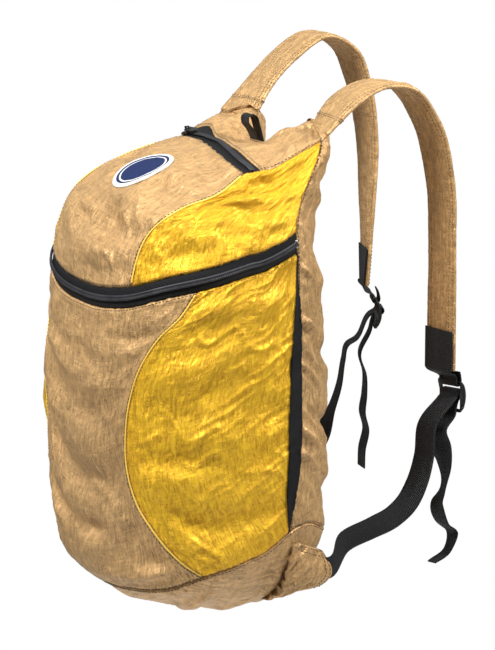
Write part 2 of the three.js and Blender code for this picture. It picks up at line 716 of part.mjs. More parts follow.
function flatDivide(start, end, steps) {
  const [a, b] = [flatten(start), flatten(end)];
  return sample(steps, (share) => unflatten([mix(a[0], b[0], share), mix(a[1], b[1], share)]));
}

const right = sideSeams(1);
const left = sideSeams(-1);
const chain = (...parts) => parts.reduce((whole, part) => [...whole, ...part.slice(1)]);
const pastBack = (places) => places.map(({ turn, reach }) => ({ turn: turn < 0 ? turn + 360 : turn, reach }));

// Lower bag
const frontBase = range(-TURN_AT.arcFoot, TURN_AT.arcFoot, COLUMNS.front, basePlace);
const rightBase = range(TURN_AT.arcFoot, TURN_AT.backSeamFoot, COLUMNS.side, basePlace);
const backBase = range(TURN_AT.backSeamFoot, 360 - TURN_AT.backSeamFoot, COLUMNS.back, basePlace);
const frontZip = range(-TURN_AT.arcTop, TURN_AT.arcTop, COLUMNS.front, zipFoot);
const rightZip = range(TURN_AT.arcTop, TURN_AT.zipEnd, COLUMNS.side, zipFoot);
const leftZip = range(-TURN_AT.zipEnd, -TURN_AT.arcTop, COLUMNS.side, zipFoot);

addWall('front_panel', patch({ bottom: frontBase, top: frontZip, left: left.lowerArc, right: right.lowerArc }), 'tan');
addWall(
  'side_panel_right',
  patch({ bottom: rightBase, top: rightZip, left: right.lowerArc, right: right.lowerBack }),
  'yellow',
);
addWall(
  'side_panel_left',
  patch({ bottom: mirror(rightBase), top: leftZip, left: left.lowerBack, right: left.lowerArc }),
  'yellow',
);

const ridge = range(RIDGE[0].turn, 360 - RIDGE[0].turn, COLUMNS.back, ridgePlace);
addWall(
  'back_panel',
  patch({
    bottom: backBase,
    top: ridge,
    left: chain(right.lowerBack, right.zipEnd, right.upperBack),
    right: pastBack(chain(left.lowerBack, left.zipEnd, left.upperBack)),
  }),
  'tan',
);

// The base is a disc of rings round its middle
function basePatch() {
  const rim = chain(frontBase, rightBase, backBase, pastBack(mirror(rightBase))).slice(0, -1);
  const places = [{ turn: 0, reach: FULL_REACH }];
  const triangles = [];
  const n = rim.length;
  for (let ring = 1; ring <= ROWS.base; ring++) {
    rim.forEach(({ turn, reach }) => places.push({ turn, reach: mix(FULL_REACH, reach, ring / ROWS.base) }));
  }
  for (let i = 0; i < n; i++) {
    const after = (i + 1) % n;
    triangles.push([0, 1 + after, 1 + i]);
    for (let ring = 0; ring < ROWS.base - 1; ring++) {
      const [a, b] = [1 + ring * n + i, 1 + ring * n + after];
      triangles.push([a, b, b + n], [a, b + n, a + n]);
    }
  }
  return { places, triangles };
}
addWall('base_panel', basePatch(), 'tan');

// Lid
const frontLid = range(-TURN_AT.upperArcFoot, TURN_AT.upperArcFoot, COLUMNS.lidFront, zipTop);
const rightLid = range(TURN_AT.upperArcFoot, TURN_AT.zipEnd, COLUMNS.lidSide, zipTop);
const leftLid = range(-TURN_AT.zipEnd, -TURN_AT.upperArcFoot, COLUMNS.lidSide, zipTop);
const topZipFront = sample(COLUMNS.lidFront, (share) => topZipEdge(share, -1));
const topZipBack = sample(COLUMNS.back, (share) => topZipEdge(share, 1));
addWall(
  'lid_front',
  patch({ bottom: frontLid, top: topZipFront, left: left.upperArc, right: right.upperArc, flat: true }),
  'tan',
);
addWall(
  'lid_side_right',
  patch({
    bottom: rightLid,
    top: chain(right.topEnd, right.yokeSide),
    left: right.upperArc,
    right: right.upperBack,
  }),
  'yellow',
);
addWall(
  'lid_side_left',
  patch({
    bottom: leftLid,
    top: chain(left.topEnd, left.yokeSide).reverse(),
    left: left.upperBack,
    right: left.upperArc,
  }),
  'yellow',
);
addWall(
  'yoke',
  patch({
    bottom: topZipBack,
    top: [...ridge].reverse(),
    left: left.yokeSide,
    right: right.yokeSide,
    flat: true,
  }),
  'tan',
);

// Zips: a band of tape in the cloth and a coil along its middle
function addZip(name, lower, upper, steps) {
  const band = bandPatch(lower, upper, steps);
  addWall(`${name}_tape`, band, 'black');
  const frames = band.middle.slice(1, -1).map((place, i, all) => {
    const normal = normalAt(place);
    const ahead = atPlace(all[Math.min(i + 1, all.length - 1)]);
    const way = ahead.sub(atPlace(all[Math.max(i - 1, 0)])).normalize();
    const point = atPlace(place).addScaledVector(normal, COIL_GAP + COIL_HEIGHT / 2);
    return { point, wide: normal.cross(way), width: COIL_WIDTH };
  });
  addBand(`${name}_teeth`, frames, COIL_HEIGHT, 'coil');
  return frames;
}
const MAIN_ZIP_STEPS = 32;
const TOP_ZIP_STEPS = 14;
const mainCoil = addZip(
  'main_zip',
  chain(leftZip, frontZip, rightZip),
  chain(leftLid, frontLid, rightLid),
  MAIN_ZIP_STEPS,
);
const topCoil = addZip('top_zip', topZipFront, topZipBack, TOP_ZIP_STEPS);

// Box with its base on the plane z = 0, by its sizes and the middle of its base
function block(length, width, height, x = 0, y = 0, z = 0) {
  return new THREE.BoxGeometry(length, width, height).translate(x, y, z + height / 2);
}

// Slider body along +X over a coil on the plane z = 0, with an arched bridge on top
function sliderParts() {
  const tunnel = COIL_HEIGHT + GAP;
  const top = tunnel + BRIDGE_WALL;
  const body = combine('subtract', [
    block(SLIDER_LENGTH, SLIDER_WIDTH, top),
    block(SLIDER_LENGTH + 1, COIL_WIDTH + 2 * GAP, tunnel + 1, 0, 0, -1),
  ]);
  const rise = bridgeRoom() + BRIDGE_WALL;
  const bridge = combine('subtract', [
    block(BRIDGE_LENGTH, BRIDGE_WIDTH, rise + BRIDGE_WALL / 2, 0, 0, top - BRIDGE_WALL / 2),
    block(BRIDGE_LENGTH - 2 * BRIDGE_WALL, BRIDGE_WIDTH + 1, bridgeRoom(), 0, 0, top),
  ]);
  return { body, bridge, top };
}

const barSpan = () => Math.hypot(PULL_THICKNESS, PULL_THICKNESS);
const bridgeRoom = () => barSpan() + 2 * PULL_PLAY;

// Pull tab along +X with its crossbar at the origin and a window for the bridge
function pullShape() {
  const bar = PULL_THICKNESS / 2;
  const half = PULL_WIDTH / 2;
  const shape = new THREE.Shape();
  shape.moveTo(-bar, -half);
  shape.lineTo(PULL_LENGTH - half, -half);
  shape.absarc(PULL_LENGTH - half, 0, half, -Math.PI / 2, Math.PI / 2, false);
  shape.lineTo(-bar, half);
  shape.closePath();
  const window = new THREE.Path();
  const side = BRIDGE_WIDTH / 2 + PULL_PLAY;
  const end = BRIDGE_LENGTH / 2 + PULL_PLAY + 1;
  window.moveTo(bar, -side);
  window.lineTo(bar, side);
  window.lineTo(end, side);
  window.lineTo(end, -side);
  window.closePath();
  shape.holes.push(window);
  const options = { depth: PULL_THICKNESS, bevelEnabled: false, curveSegments: 8 };
  return new THREE.ExtrudeGeometry(shape, options).translate(0, 0, -PULL_THICKNESS / 2);
}

// Group on a coil's frame: +X along the zip, +Z off the cloth, the plane z = 0 under the coil
function coilGroup(frames, index) {
  const way = frames[index + 1].point.clone().sub(frames[index - 1].point).normalize();
  const normal = way.clone().cross(frames[index].wide).normalize();
  const group = new THREE.Group();
  group.quaternion.setFromRotationMatrix(
    new THREE.Matrix4().makeBasis(way, normal.clone().cross(way), normal),
  );
  group.position.copy(frames[index].point).addScaledVector(normal, -COIL_HEIGHT / 2);
  bag.add(group);
  return group;
}

// Step of the coil where each slider stands
const SLIDER_AT = { top: 1, main: 2 };
const slider = sliderParts();
const topSlider = coilGroup(topCoil, SLIDER_AT.top);
addSolid('top_zip_slider', combine('add', [slider.body, slider.bridge]), 'plastic', topSlider);
const pull = addSolid('top_zip_pull', pullShape(), 'plastic', topSlider);
pull.position.z = slider.top + bridgeRoom() / 2;
pull.rotation.y = rad(PULL_DROOP);
const plainPull = block(PULL_LENGTH, PULL_WIDTH, PULL_THICKNESS, PULL_LENGTH / 2, 0, slider.top - PULL_PLAY / 2);
const mainSlider = coilGroup(mainCoil, SLIDER_AT.main);
addSolid('main_zip_slider', combine('add', [slider.body, plainPull]), 'plastic', mainSlider);

// Round patch on the lid
const PATCH_SIDES = 28;
const PATCH_RINGS = 2;
function addPatchDisc() {
  const centre = { x: PATCH_PLACE.across * HALF_WIDTH, y: PATCH_PLACE.back * HALF_DEPTH };
  const middle = overhead(centre.x, centre.y);
  const normal = normalAt(middle);
  const across = vec(1, 0, 0).cross(normal).cross(normal).negate().normalize();
  const upwards = normal.clone().cross(across);
  const places = [middle];
  const triangles = [];
  for (let ring = 1; ring <= PATCH_RINGS; ring++) {
    for (let i = 0; i < PATCH_SIDES; i++) {
      const angle = (2 * Math.PI * i) / PATCH_SIDES;
      const radius = (PATCH_DIAMETER / 2) * (ring / PATCH_RINGS);
      const [a, b] = [radius * Math.cos(angle), radius * Math.sin(angle)];
      places.push(overhead(centre.x + a * across.x + b * upwards.x, centre.y + a * across.y + b * upwards.y));
    }
  }
  for (let i = 0; i < PATCH_SIDES; i++) {
    const after = (i + 1) % PATCH_SIDES;
    triangles.push([0, 1 + i, 1 + after]);
    const [a, b] = [1 + i, 1 + after];
    triangles.push([a, a + PATCH_SIDES, b + PATCH_SIDES], [a, b + PATCH_SIDES, b]);
  }
  const options = { lift: GAP + PATCH_THICKNESS, thick: PATCH_THICKNESS, inset: 0 };
  addWall('round_patch', { places, triangles }, 'navy', options);
}
addPatchDisc();

// Bare tape over the side seam, pointed towards both ends
function addSideTape() {
  const seam = right.lowerBack.slice(0, -1);
  const columns = 2;
  const places = seam.flatMap((place, j) => {
    const share = j / (seam.length - 1);
    const half = (SIDE_TAPE_WIDTH / 2 / LENGTH_OF_DEGREE) * mix(0.35, 1, Math.sin(Math.PI * share) ** 0.5);
    return [-half, 0, half].map((off) => ({ turn: place.turn + off, reach: place.reach }));
  });
  const triangles = gridTriangles(columns, seam.length - 1);
  const options = { lift: GAP + TAPE_THICKNESS, thick: TAPE_THICKNESS, inset: 0 };
  addWall('side_tape', { places, triangles }, 'black', options);
}
addSideTape();

// Corner tabs, standing off the cloth towards their free edge
const TAB_COLUMNS = 5;
const TAB_ROWS = 6;
function tabPlace(sign, s, along) {
  const [inner, outer, off] = ['inner', 'outer', 'off'].map((key) => curve(CORNER_TAB, 'along', key)(along));
  const turn = mix(TAB_TURNS.inner, TAB_TURNS.outer, s);
  const place = placeAtUp(sign * turn, mix(inner, outer, s));
  const normal = normalAt(place);
  const level = vec(normal.x, normal.y, 0).normalize();
  return { ...place, shift: level.multiplyScalar(off * HALF_DEPTH * s * s) };
}
function addCornerTab(side, sign) {
  const places = [];
  for (let j = 0; j <= TAB_ROWS; j++) {
    for (let i = 0; i <= TAB_COLUMNS; i++) {
      const s = sign > 0 ? i / TAB_COLUMNS : 1 - i / TAB_COLUMNS;
      places.push(tabPlace(sign, s, 1 - j / TAB_ROWS));
    }
  }
  const options = { lift: GAP + TAB_THICKNESS, thick: TAB_THICKNESS, inset: 0 };
  addWall(`corner_tab_${side}`, { places, triangles: gridTriangles(TAB_COLUMNS, TAB_ROWS) }, 'tan', options);
}
addCornerTab('right', 1);
addCornerTab('left', -1);

// Harness
const toPlace = ({ across, back, up }) => vec(across * HALF_WIDTH, back * HALF_DEPTH, up * BAG_HEIGHT);
function toSide({ turn, tilt = 0 }) {
  const level = Math.cos(rad(tilt));
  return vec(level * Math.cos(rad(turn)), level * Math.sin(rad(turn)), Math.sin(rad(tilt)));
}

const STRAP_STEPS = 4;
function addStrap(side, sign) {
  const outer = atPlace({ turn: sign * RIDGE[0].turn, reach: ridgePlace(RIDGE[0].turn).reach });
  const inner = atPlace({ turn: sign * RIDGE[2].turn, reach: ridgePlace(RIDGE[2].turn).reach });
  const edge = outer.clone().sub(inner).multiplyScalar(sign).normalize();
  const route = STRAP_ROUTES[side].map((row, i, all) => ({
    place: toPlace(row),
    side: toSide(row),
    width: mix(STRAP_WIDTH, STRAP_TIP_WIDTH, Math.max(0, (i - 3) / (all.length - 4))),
    steps: STRAP_STEPS,
  }));
  const middle = outer.add(inner).multiplyScalar(0.5);
  const way = route[0].place.clone().sub(middle).normalize();
  const bulge = atPlace({ turn: sign * RIDGE[1].turn, reach: ridgePlace(RIDGE[1].turn).reach });
  const root = middle.addScaledVector(way, bulge.sub(middle).dot(way) + STRAP_THICKNESS / 2 + GAP);
  const frames = framesAlong([{ place: root, side: edge, width: STRAP_WIDTH, steps: STRAP_STEPS }, ...route]);
  addBand(`shoulder_strap_${side}`, frames, STRAP_THICKNESS, 'tan', true);
  return frames;
}

// Webbing's way through a lock, out from its side and up from a bar's middle, as shares of the lock's height
const LOCK_PATH = {
  meet: { up: 0.143 },
  leave: { out: -0.014, up: 0.143 },
  tuck: { out: 0.05, up: 0.321 },
  lead: { out: -0.321, up: -0.143 },
  drop: { out: -0.121, up: -0.179 },
  inside: { out: -0.021, up: 0.143 },
  below: { out: -0.057, up: -0.036 },
};
const pathOut = (key) => LOCK_PATH[key].out * LOCK_HEIGHT;
const pathUp = (key) => LOCK_PATH[key].up * LOCK_HEIGHT;
// Depth of the tab's hem that the webbing starts beyond, in thicknesses of the tab
const HEM_LAYERS = 4;

// Places in a ladder lock: across between its rails, out from the wearer's side, up along it
function lockFrame(side) {
  const centre = toPlace(LOCKS[side]);
  const across = toSide(LOCKS[side]);
  const up = vec(0, 0, 1);
  const out = up.clone().cross(across);
  const at = (o, u) => centre.clone().addScaledVector(out, o).addScaledVector(up, u);
  return { centre, across, out, up, at };
}
const lockBow = (up) => LOCK_BOW * (1 - (2 * up / LOCK_HEIGHT) ** 2);
const topBarUp = LOCK_HEIGHT / 2 - LOCK_BAR / 2;
const middleBarUp = LOCK_HEIGHT * 0.08;
const wrapRadius = 0.95 * LOCK_BAR + GAP + WEBBING_THICKNESS / 2;

function addLock(side) {
  const half = WEBBING_WIDTH / 2 + LOCK_PLAY;
  const outer = half + LOCK_RAIL;
  const high = LOCK_HEIGHT / 2;
  const levels = Array.from({ length: 9 }, (_, i) => mix(-high, high, i / 8));
  const slot = (low, top) => {
    const inside = levels.filter((level) => level > low + 1 && level < top - 1);
    const path = new THREE.Path();
    path.setFromPoints([
      new THREE.Vector2(-half, low),
      ...inside.concat(top).map((level) => new THREE.Vector2(-half, level)),
      new THREE.Vector2(half, top),
      ...inside.reverse().concat(low).map((level) => new THREE.Vector2(half, level)),
    ]);
    return path;
  };
  const rim = [
    ...levels.map((level) => new THREE.Vector2(outer - cornerIn(level, high), level)),
    ...[...levels].reverse().map((level) => new THREE.Vector2(-outer + cornerIn(level, high), level)),
  ];
  const shape = new THREE.Shape(rim);
  shape.holes.push(slot(-high + LOCK_BAR, middleBarUp - LOCK_BAR / 2));
  shape.holes.push(slot(middleBarUp + LOCK_BAR / 2, high - LOCK_BAR));
  const geometry = new THREE.ExtrudeGeometry(shape, { depth: LOCK_BAR, bevelEnabled: false });
  const position = geometry.attributes.position;
  for (let i = 0; i < position.count; i++) {
    position.setZ(i, lockBow(position.getY(i)) + LOCK_BAR / 2 - position.getZ(i));
    position.setX(i, -position.getX(i));
  }
  const { centre, across, out, up } = lockFrame(side);
  const mesh = addSolid(`ladder_lock_${side}`, combine('add', [geometry]), 'plastic');
  mesh.quaternion.setFromRotationMatrix(new THREE.Matrix4().makeBasis(across.clone().negate(), up, out));
  mesh.position.copy(centre);
}
const cornerIn = (level, high) => (Math.abs(level) > high - 0.1 ? LOCK_RAIL / 2 : 0);

// Webbing sleeve on the strap's tip, taken round the lock's top bar and back up
function addStrapEnd(side, strapFrames) {
  const { across, at } = lockFrame(side);
  const tip = last(strapFrames).point;
  const offset = (STRAP_THICKNESS + WEBBING_THICKNESS) / 2 + GAP;
  const [barOut, barUp] = [lockBow(topBarUp), topBarUp];
  const narrow = WEBBING_WIDTH;
  const sleeve = strapFrames
    .filter(({ point }) => point.distanceTo(tip) < SLEEVE_LENGTH)
    .map(({ point, wide, width }) => {
      const out = vec(0, 0, 1).cross(wide).normalize();
      return { place: point.clone().addScaledVector(out, -offset), side: wide, width: width - 2 * GAP, steps: 1 };
    });
  const row = (place, width, steps = 1) => ({ place, side: across, width, steps });
  const turnRows = [180, 225, 270, 315, 360].map((angle) => {
    const [o, u] = [Math.cos(rad(angle)), Math.sin(rad(angle))].map((part) => part * wrapRadius);
    return row(at(barOut + o, barUp + u), narrow);
  });
  const below = last(sleeve).place.clone().add(vec(0, 0, -STRAP_THICKNESS / 2));
  const frames = framesAlong([
    ...sleeve,
    { ...last(sleeve), place: below, steps: 2 },
    row(at(barOut - wrapRadius, barUp + pathUp('meet')), narrow),
    ...turnRows,
    row(at(barOut + wrapRadius + pathOut('leave'), barUp + pathUp('leave')), narrow, 2),
    row(at(barOut + pathOut('tuck'), barUp + pathUp('tuck')), narrow),
  ]);
  addBand(`strap_end_${side}`, frames, WEBBING_THICKNESS, 'black');
}

// Webbing from the corner tab to the lock, round its middle bar and down to the free end
function addWebbing(side, sign) {
  const { across, at } = lockFrame(side);
  const [barOut, barUp] = [lockBow(middleBarUp), middleBarUp];
  const bottomOut = lockBow(LOCK_HEIGHT / 2 - LOCK_BAR / 2);
  const row = (place, steps = 1) => ({ place, side: across, width: WEBBING_WIDTH, steps });
  const byHand = (route) => route.map((r) => ({ ...row(toPlace(r), 4), side: toSide(r) }));
  const edge = [0.25, 0.5, 0.75].map((along) => {
    const place = tabPlace(sign, 1, along);
    return atPlace(place).add(place.shift);
  });
  const route = byHand(WEBBING_ROUTES[side]);
  const way = route[0].place.clone().sub(edge[1]).normalize();
  const tabSide = edge[0].clone().sub(edge[2]).normalize().negate();
  const level = vec(way.x, way.y, 0).normalize();
  const start = edge[1].clone().addScaledVector(level, GAP + HEM_LAYERS * TAB_THICKNESS);
  const wrap = [180, 135, 90, 45, 0, -45, -90].map((angle) => {
    const [o, u] = [Math.cos(rad(angle)), Math.sin(rad(angle))].map((part) => part * wrapRadius);
    return row(at(barOut + o, barUp + u));
  });
  const frames = framesAlong([
    { place: start, side: tabSide, width: WEBBING_WIDTH, steps: 3 },
    ...route,
    row(at(barOut + pathOut('lead'), barUp + pathUp('lead')), 2),
    ...wrap,
    row(at(barOut + pathOut('drop'), barUp + pathUp('drop'))),
    row(at(bottomOut - LOCK_BAR + pathOut('inside'), pathUp('inside') - LOCK_HEIGHT / 2), 2),
    row(at(bottomOut - LOCK_BAR + pathOut('below'), pathUp('below') - LOCK_HEIGHT / 2), 2),
    ...byHand(TAIL_ROUTES[side]),
  ]);
  addBand(`lower_webbing_${side}`, frames, WEBBING_THICKNESS, 'black');
}

for (const [side, sign] of [['right', 1], ['left', -1]]) {
  addStrapEnd(side, addStrap(side, sign));
  addLock(side);
  addWebbing(side, sign);
}

// Haul loop of webbing on the ridge's middle, folded over and leaning to the front. back counts in leans of
// the loop and up in its heights.
const HAUL_ROUTE = [
  { back: -0.3, up: 0.135 },
  { back: -0.7, up: 0.45 },
  { back: -1.15, up: 0.75 },
  { back: -1.1, up: 0.94, steps: 1 },
  { back: -0.75, up: 1.0, steps: 1 },
  { back: -0.45, up: 0.93 },
  { back: -0.15, up: 0.6 },
  { back: 0.18, up: 0.075 },
];
function addHaulLoop() {
  const foot = atPlace(ridgePlace(180));
  const row = (back, up, steps = 2) => ({
    place: foot.clone().add(vec(0, back * HAUL_LEAN, up * HAUL_HEIGHT)),
    side: vec(1, 0, 0),
    width: HAUL_WIDTH,
    steps,
  });
  const frames = framesAlong(HAUL_ROUTE.map(({ back, up, steps }) => row(back, up, steps)));
  addBand('haul_loop', frames, WEBBING_THICKNESS, 'black');
}
addHaulLoop();

bag.position.copy(toPlace(SHOULDER)).negate();
const backpack = new THREE.Group();
backpack.add(bag);

export default backpack;
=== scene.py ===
import bmesh
import bpy
import numpy as np
from bpy.props import FloatProperty, FloatVectorProperty, IntProperty, PointerProperty
from mathutils import Matrix, Vector


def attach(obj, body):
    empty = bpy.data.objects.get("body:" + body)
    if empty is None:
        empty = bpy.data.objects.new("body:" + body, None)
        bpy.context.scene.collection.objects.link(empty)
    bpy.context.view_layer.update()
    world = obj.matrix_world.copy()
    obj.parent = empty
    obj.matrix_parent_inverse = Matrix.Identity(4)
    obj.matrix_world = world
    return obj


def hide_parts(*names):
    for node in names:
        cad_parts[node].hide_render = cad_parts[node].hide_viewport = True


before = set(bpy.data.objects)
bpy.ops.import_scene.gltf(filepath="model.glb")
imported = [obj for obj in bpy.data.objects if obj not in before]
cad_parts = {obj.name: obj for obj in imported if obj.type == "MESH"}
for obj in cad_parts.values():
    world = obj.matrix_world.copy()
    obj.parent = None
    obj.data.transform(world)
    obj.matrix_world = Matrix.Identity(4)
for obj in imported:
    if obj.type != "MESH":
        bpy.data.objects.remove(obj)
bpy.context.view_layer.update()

bl_info = {
    "name": "Packable backpack",
    "version": (1, 0, 0),
    "blender": (4, 5, 0),
    "location": "3D View > Sidebar > Backpack",
    "description": "Cloth, zips, straps and webbing of a filled nylon daypack",
    "category": "Add Mesh",
}

# Lengths are metres. X runs across the bag, Y from its front to the wearer's back, Z up.
MM = 0.001

# Sizes of the bag that the frame was made from
BAG_HEIGHT = 391 * MM
BAG_WIDTH = 270 * MM
BAG_DEPTH = 210 * MM
SQUARENESS = 2.7
HORN_RISE = 27 * MM
HORN_REACH = 25 * MM
CLOTH = 0.8 * MM
ZIP_WIDTH = 17 * MM
TOP_ZIP_WIDTH = 16 * MM
COIL_WIDTH = 5 * MM
COIL_HEIGHT = 1.3 * MM
COIL_GAP = 0.6 * MM
COIL_PITCH = 1.8 * MM
PATCH_DIAMETER = 55 * MM
PATCH_THICKNESS = 1.2 * MM
TAPE_THICKNESS = 0.9 * MM
SIDE_TAPE_WIDTH = 9 * MM
STRAP_WIDTH = 49 * MM
STRAP_TIP_WIDTH = 38 * MM
STRAP_THICKNESS = 4 * MM
WEBBING_WIDTH = 20 * MM
WEBBING_THICKNESS = 1.3 * MM
SLEEVE_LENGTH = 34 * MM
# Cloth round a strap's root: how far it starts from the ridge and ends up the strap, how thick it lies over
# the strap, its points across one face and along, and the rows along that are sewn
ROOT_FOOT = 13 * MM
ROOT_HEIGHT = 17 * MM
ROOT_COVER = 0.9 * MM
ROOT_COLUMNS = 41
ROOT_ROWS = 25
ROOT_STITCH_ROWS = (21, 23)
# Crown of a strap's faces
STRAP_CROWN = 0.9 * MM
# Webbing: distance between its sections; the locks: radius of their edges
WEBBING_STEP = 0.7 * MM
LOCK_EDGE = 0.5 * MM
# Bar tack at the zip's end: thread, points along, and degrees short of the end
TACK_THREAD = 1.0 * MM
TACK_POINTS = 9
TACK_TURN = 1.2
HAUL_WIDTH = 15 * MM
HAUL_HEIGHT = 24 * MM
HAUL_LEAN = 11 * MM
TAB_THICKNESS = 1.6 * MM
LOCK_HEIGHT = 28 * MM
LOCK_BAR = 2.4 * MM
LOCK_BOW = 5 * MM
GAP = 0.4 * MM
HALF_WIDTH = BAG_WIDTH / 2
HALF_DEPTH = BAG_DEPTH / 2
LENGTH_OF_DEGREE = np.pi * (HALF_WIDTH + HALF_DEPTH) / 360

# Level sections, each with: station from the base's middle to the top, height as a share of the bag's,
# half width as a share of half the width, front and back as shares of half the depth
SECTIONS = np.array([
    (0.0, 0, 0, 0, 0),
    (0.06, 0.003, 0.34, -0.4, 0.4),
    (0.12, 0.018, 0.667, -0.705, 0.705),
    (0.18, 0.056, 0.86, -0.876, 0.876),
    (0.24, 0.115, 0.948, -0.962, 0.952),
    (0.34, 0.269, 0.993, -1.01, 0.99),
    (0.45, 0.46, 1.0, -1.02, 0.981),
    (0.55, 0.627, 0.985, -0.99, 0.952),
    (0.63, 0.742, 0.963, -0.952, 0.914),
    (0.71, 0.831, 0.933, -0.867, 0.876),
    (0.79, 0.895, 0.874, -0.705, 0.838),
    (0.86, 0.944, 0.77, -0.419, 0.8),
    (0.92, 0.974, 0.622, -0.095, 0.743),
    (0.96, 0.992, 0.4, 0.133, 0.629),
    (1.0, 1, 0, 0.362, 0.362),
])

# Seams: turn from the front in degrees and height as a share of the bag's
BASE_SEAM = np.array([(0, 0.043), (26, 0.061), (52, 0.082), (70, 0.113), (89, 0.143), (101, 0.189),
                      (140, 0.16), (180, 0.15)])
ZIP_LINE = np.array([(-110, 0.846), (-82, 0.805), (-52, 0.775), (-23, 0.737), (0, 0.716), (24, 0.726),
                     (52, 0.76), (82, 0.79), (110, 0.836)])
LOWER_ARC = np.array([(60, 0.143), (50, 0.184), (43, 0.22), (36, 0.261), (30, 0.35), (30, 0.43),
                      (35, 0.537), (48, 0.634), (59, 0.68)])
UPPER_ARC = np.array([(32, 0.777), (36, 0.844), (48, 0.893), (69, 0.931)])
BACK_SEAM = np.array([(104, 0.35), (106, 0.55)])
# The ridge behind the yoke: turn and station
RIDGE = np.array([(119, 0.886), (135, 0.912), (150, 0.916), (165, 0.935), (180, 0.95)])
# The top zip's middle: shares of half the width and half the depth
TOP_ZIP_LINE = np.array([(-0.64, 0.35), (-0.44, 0.34), (-0.22, 0.31), (0, 0.26), (0.28, 0.18),
                         (0.53, 0.135), (0.7, 0.14)])
ARC_FOOT, ARC_TOP, UPPER_ARC_FOOT, BACK_SEAM_FOOT, ZIP_END = 70, 67, 31, 101, 110

# Broad dents and swells: turn, height share, width in degrees, tallness as a height share, lean in degrees
# and depth as a share of half the depth
FOLDS = (
    (72, 0.53, 30, 0.03, 8, -0.03),
    (66, 0.37, 24, 0.035, -10, -0.022),
    (80, 0.24, 20, 0.03, 12, -0.022),
    (10, 0.3, 26, 0.04, -18, -0.022),
    (-30, 0.18, 20, 0.035, 14, -0.03),
    (-35, 0.48, 22, 0.05, 10, 0.02),
    (98, 0.76, 8, 0.05, 0, -0.03),
    (128, 0.62, 10, 0.05, 30, -0.03),
    (132, 0.3, 12, 0.04, 34, -0.035),
    (180, 0.5, 40, 0.12, 0, -0.03),
)

# Corner tabs: turns of their inner and free edges, then rows of the share down the tab, the two edges'
# heights and how far the free edge stands off, as a share of half the depth
TAB_TURNS = (103, 128)
CORNER_TAB = np.array([(0, 0.17, 0.12, 0.02), (0.5, 0.09, 0.077, 0.17), (1, 0.02, 0.04, 0.19)])
PATCH_PLACE = np.array([0.02, -0.39])
# Side tape from its foot up: share of the height, share of the width
TAPE_WIDTHS = np.array([(0, 0.1), (0.08, 0.6), (0.2, 1), (0.55, 1), (0.75, 0.7), (0.9, 0.35), (1, 0.2)])

# Routes: shares of half the width, half the depth and the height, and the turn and tilt of the width in
# degrees
STRAP_ROUTES = {
    "right": (
        (0.548, 1.086, 1.092, 0), (0.548, 1.362, 1.123, 0), (0.548, 1.6, 1.115, 0),
        (0.548, 1.848, 1.038, 0), (0.548, 2, 0.9, 0), (0.54, 2.038, 0.742, 0), (0.533, 2.048, 0.604, 4),
        (0.533, 2.05, 0.475, 8),
    ),
    "left": (
        (-0.548, 1.086, 1.1, 0), (-0.548, 1.305, 1.153, 0), (-0.548, 1.629, 1.197, 0),
        (-0.548, 1.905, 1.159, 0), (-0.548, 2.029, 1.087, 0), (-0.548, 2.124, 0.967, -4),
        (-0.54, 2.133, 0.8, -12), (-0.533, 2.124, 0.706, -18), (-0.533, 2.115, 0.605, -24),
    ),
}
LOCKS = {
    "right": (0.533, 2.14, 0.405, 22),
    "left": (-0.533, 2.21, 0.53, -24),
}
WEBBING_ROUTES = {
    "right": (
        (0.696, 1.01, 0.118, 90, -60), (0.667, 1.286, 0.136, 80, -65), (0.637, 1.514, 0.151, 60, -55),
        (0.615, 1.667, 0.176, 45, -38), (0.593, 1.781, 0.217, 38, -14), (0.57, 1.867, 0.276, 32, 0),
        (0.556, 1.905, 0.345, 27, 0),
    ),
    "left": (
        (-0.72, 1.05, 0.11, 90, -60), (-0.715, 1.4, 0.15, 80, -50), (-0.69, 1.75, 0.215, 30, -30),
        (-0.652, 1.876, 0.297, -10, 0), (-0.622, 1.924, 0.353, -16, 0), (-0.593, 1.943, 0.417, -20, 0),
        (-0.57, 1.965, 0.455, -22, 0), (-0.556, 2.04, 0.468, -24, 0),
    ),
}
TAIL_ROUTES = {
    "right": (
        (0.57, 1.995, 0.332, 25, 0), (0.57, 2.03, 0.292, 40, 0), (0.57, 2.067, 0.251, 10, 0),
        (0.563, 2.057, 0.184, -20, 0), (0.556, 2.02, 0.16, 0, 10), (0.556, 2.067, 0.11, 10, 0),
        (0.548, 2.17, 0.084, 0, 10), (0.54, 2.133, 0.038, -15, 5), (0.533, 1.99, 0.016, -20, 5),
    ),
    "left": (
        (-0.54, 2.07, 0.43, -24, 0), (-0.54, 2.124, 0.38, -20, 0), (-0.54, 2.124, 0.33, -16, 0),
        (-0.54, 2.105, 0.286, -12, 0), (-0.54, 2.143, 0.243, -12, 0), (-0.54, 2.105, 0.194, -10, 0),
        (-0.54, 2.1, 0.151, -10, 0),
    ),
}


# Smooth lines and the bag's form

def smooth(xs, ys, x):
    """Cubic line through the points (xs, ys), with the slope at a point taken from its two neighbours."""
    slopes = np.gradient(ys, xs)
    i = np.clip(np.searchsorted(xs, x, side="right") - 1, 0, len(xs) - 2)
    h = xs[i + 1] - xs[i]
    s = (x - xs[i]) / h
    return (
        (2 * s**3 - 3 * s**2 + 1) * ys[i]
        + (s**3 - 2 * s**2 + s) * h * slopes[i]
        + (3 * s**2 - 2 * s**3) * ys[i + 1]
        + (s**3 - s**2) * h * slopes[i + 1]
    )


def step(x, low, high):
    """Rises smoothly from 0 at low to 1 at high."""
    t = np.clip((x - low) / (high - low), 0, 1)
    return t * t * (3 - 2 * t)


def section(station):
    """Height, half width, front and back of the level section at a station, in metres."""
    up, half, front, back = (smooth(SECTIONS[:, 0], SECTIONS[:, k], station) for k in range(1, 5))
    return up * BAG_HEIGHT, half * HALF_WIDTH, front * HALF_DEPTH, back * HALF_DEPTH


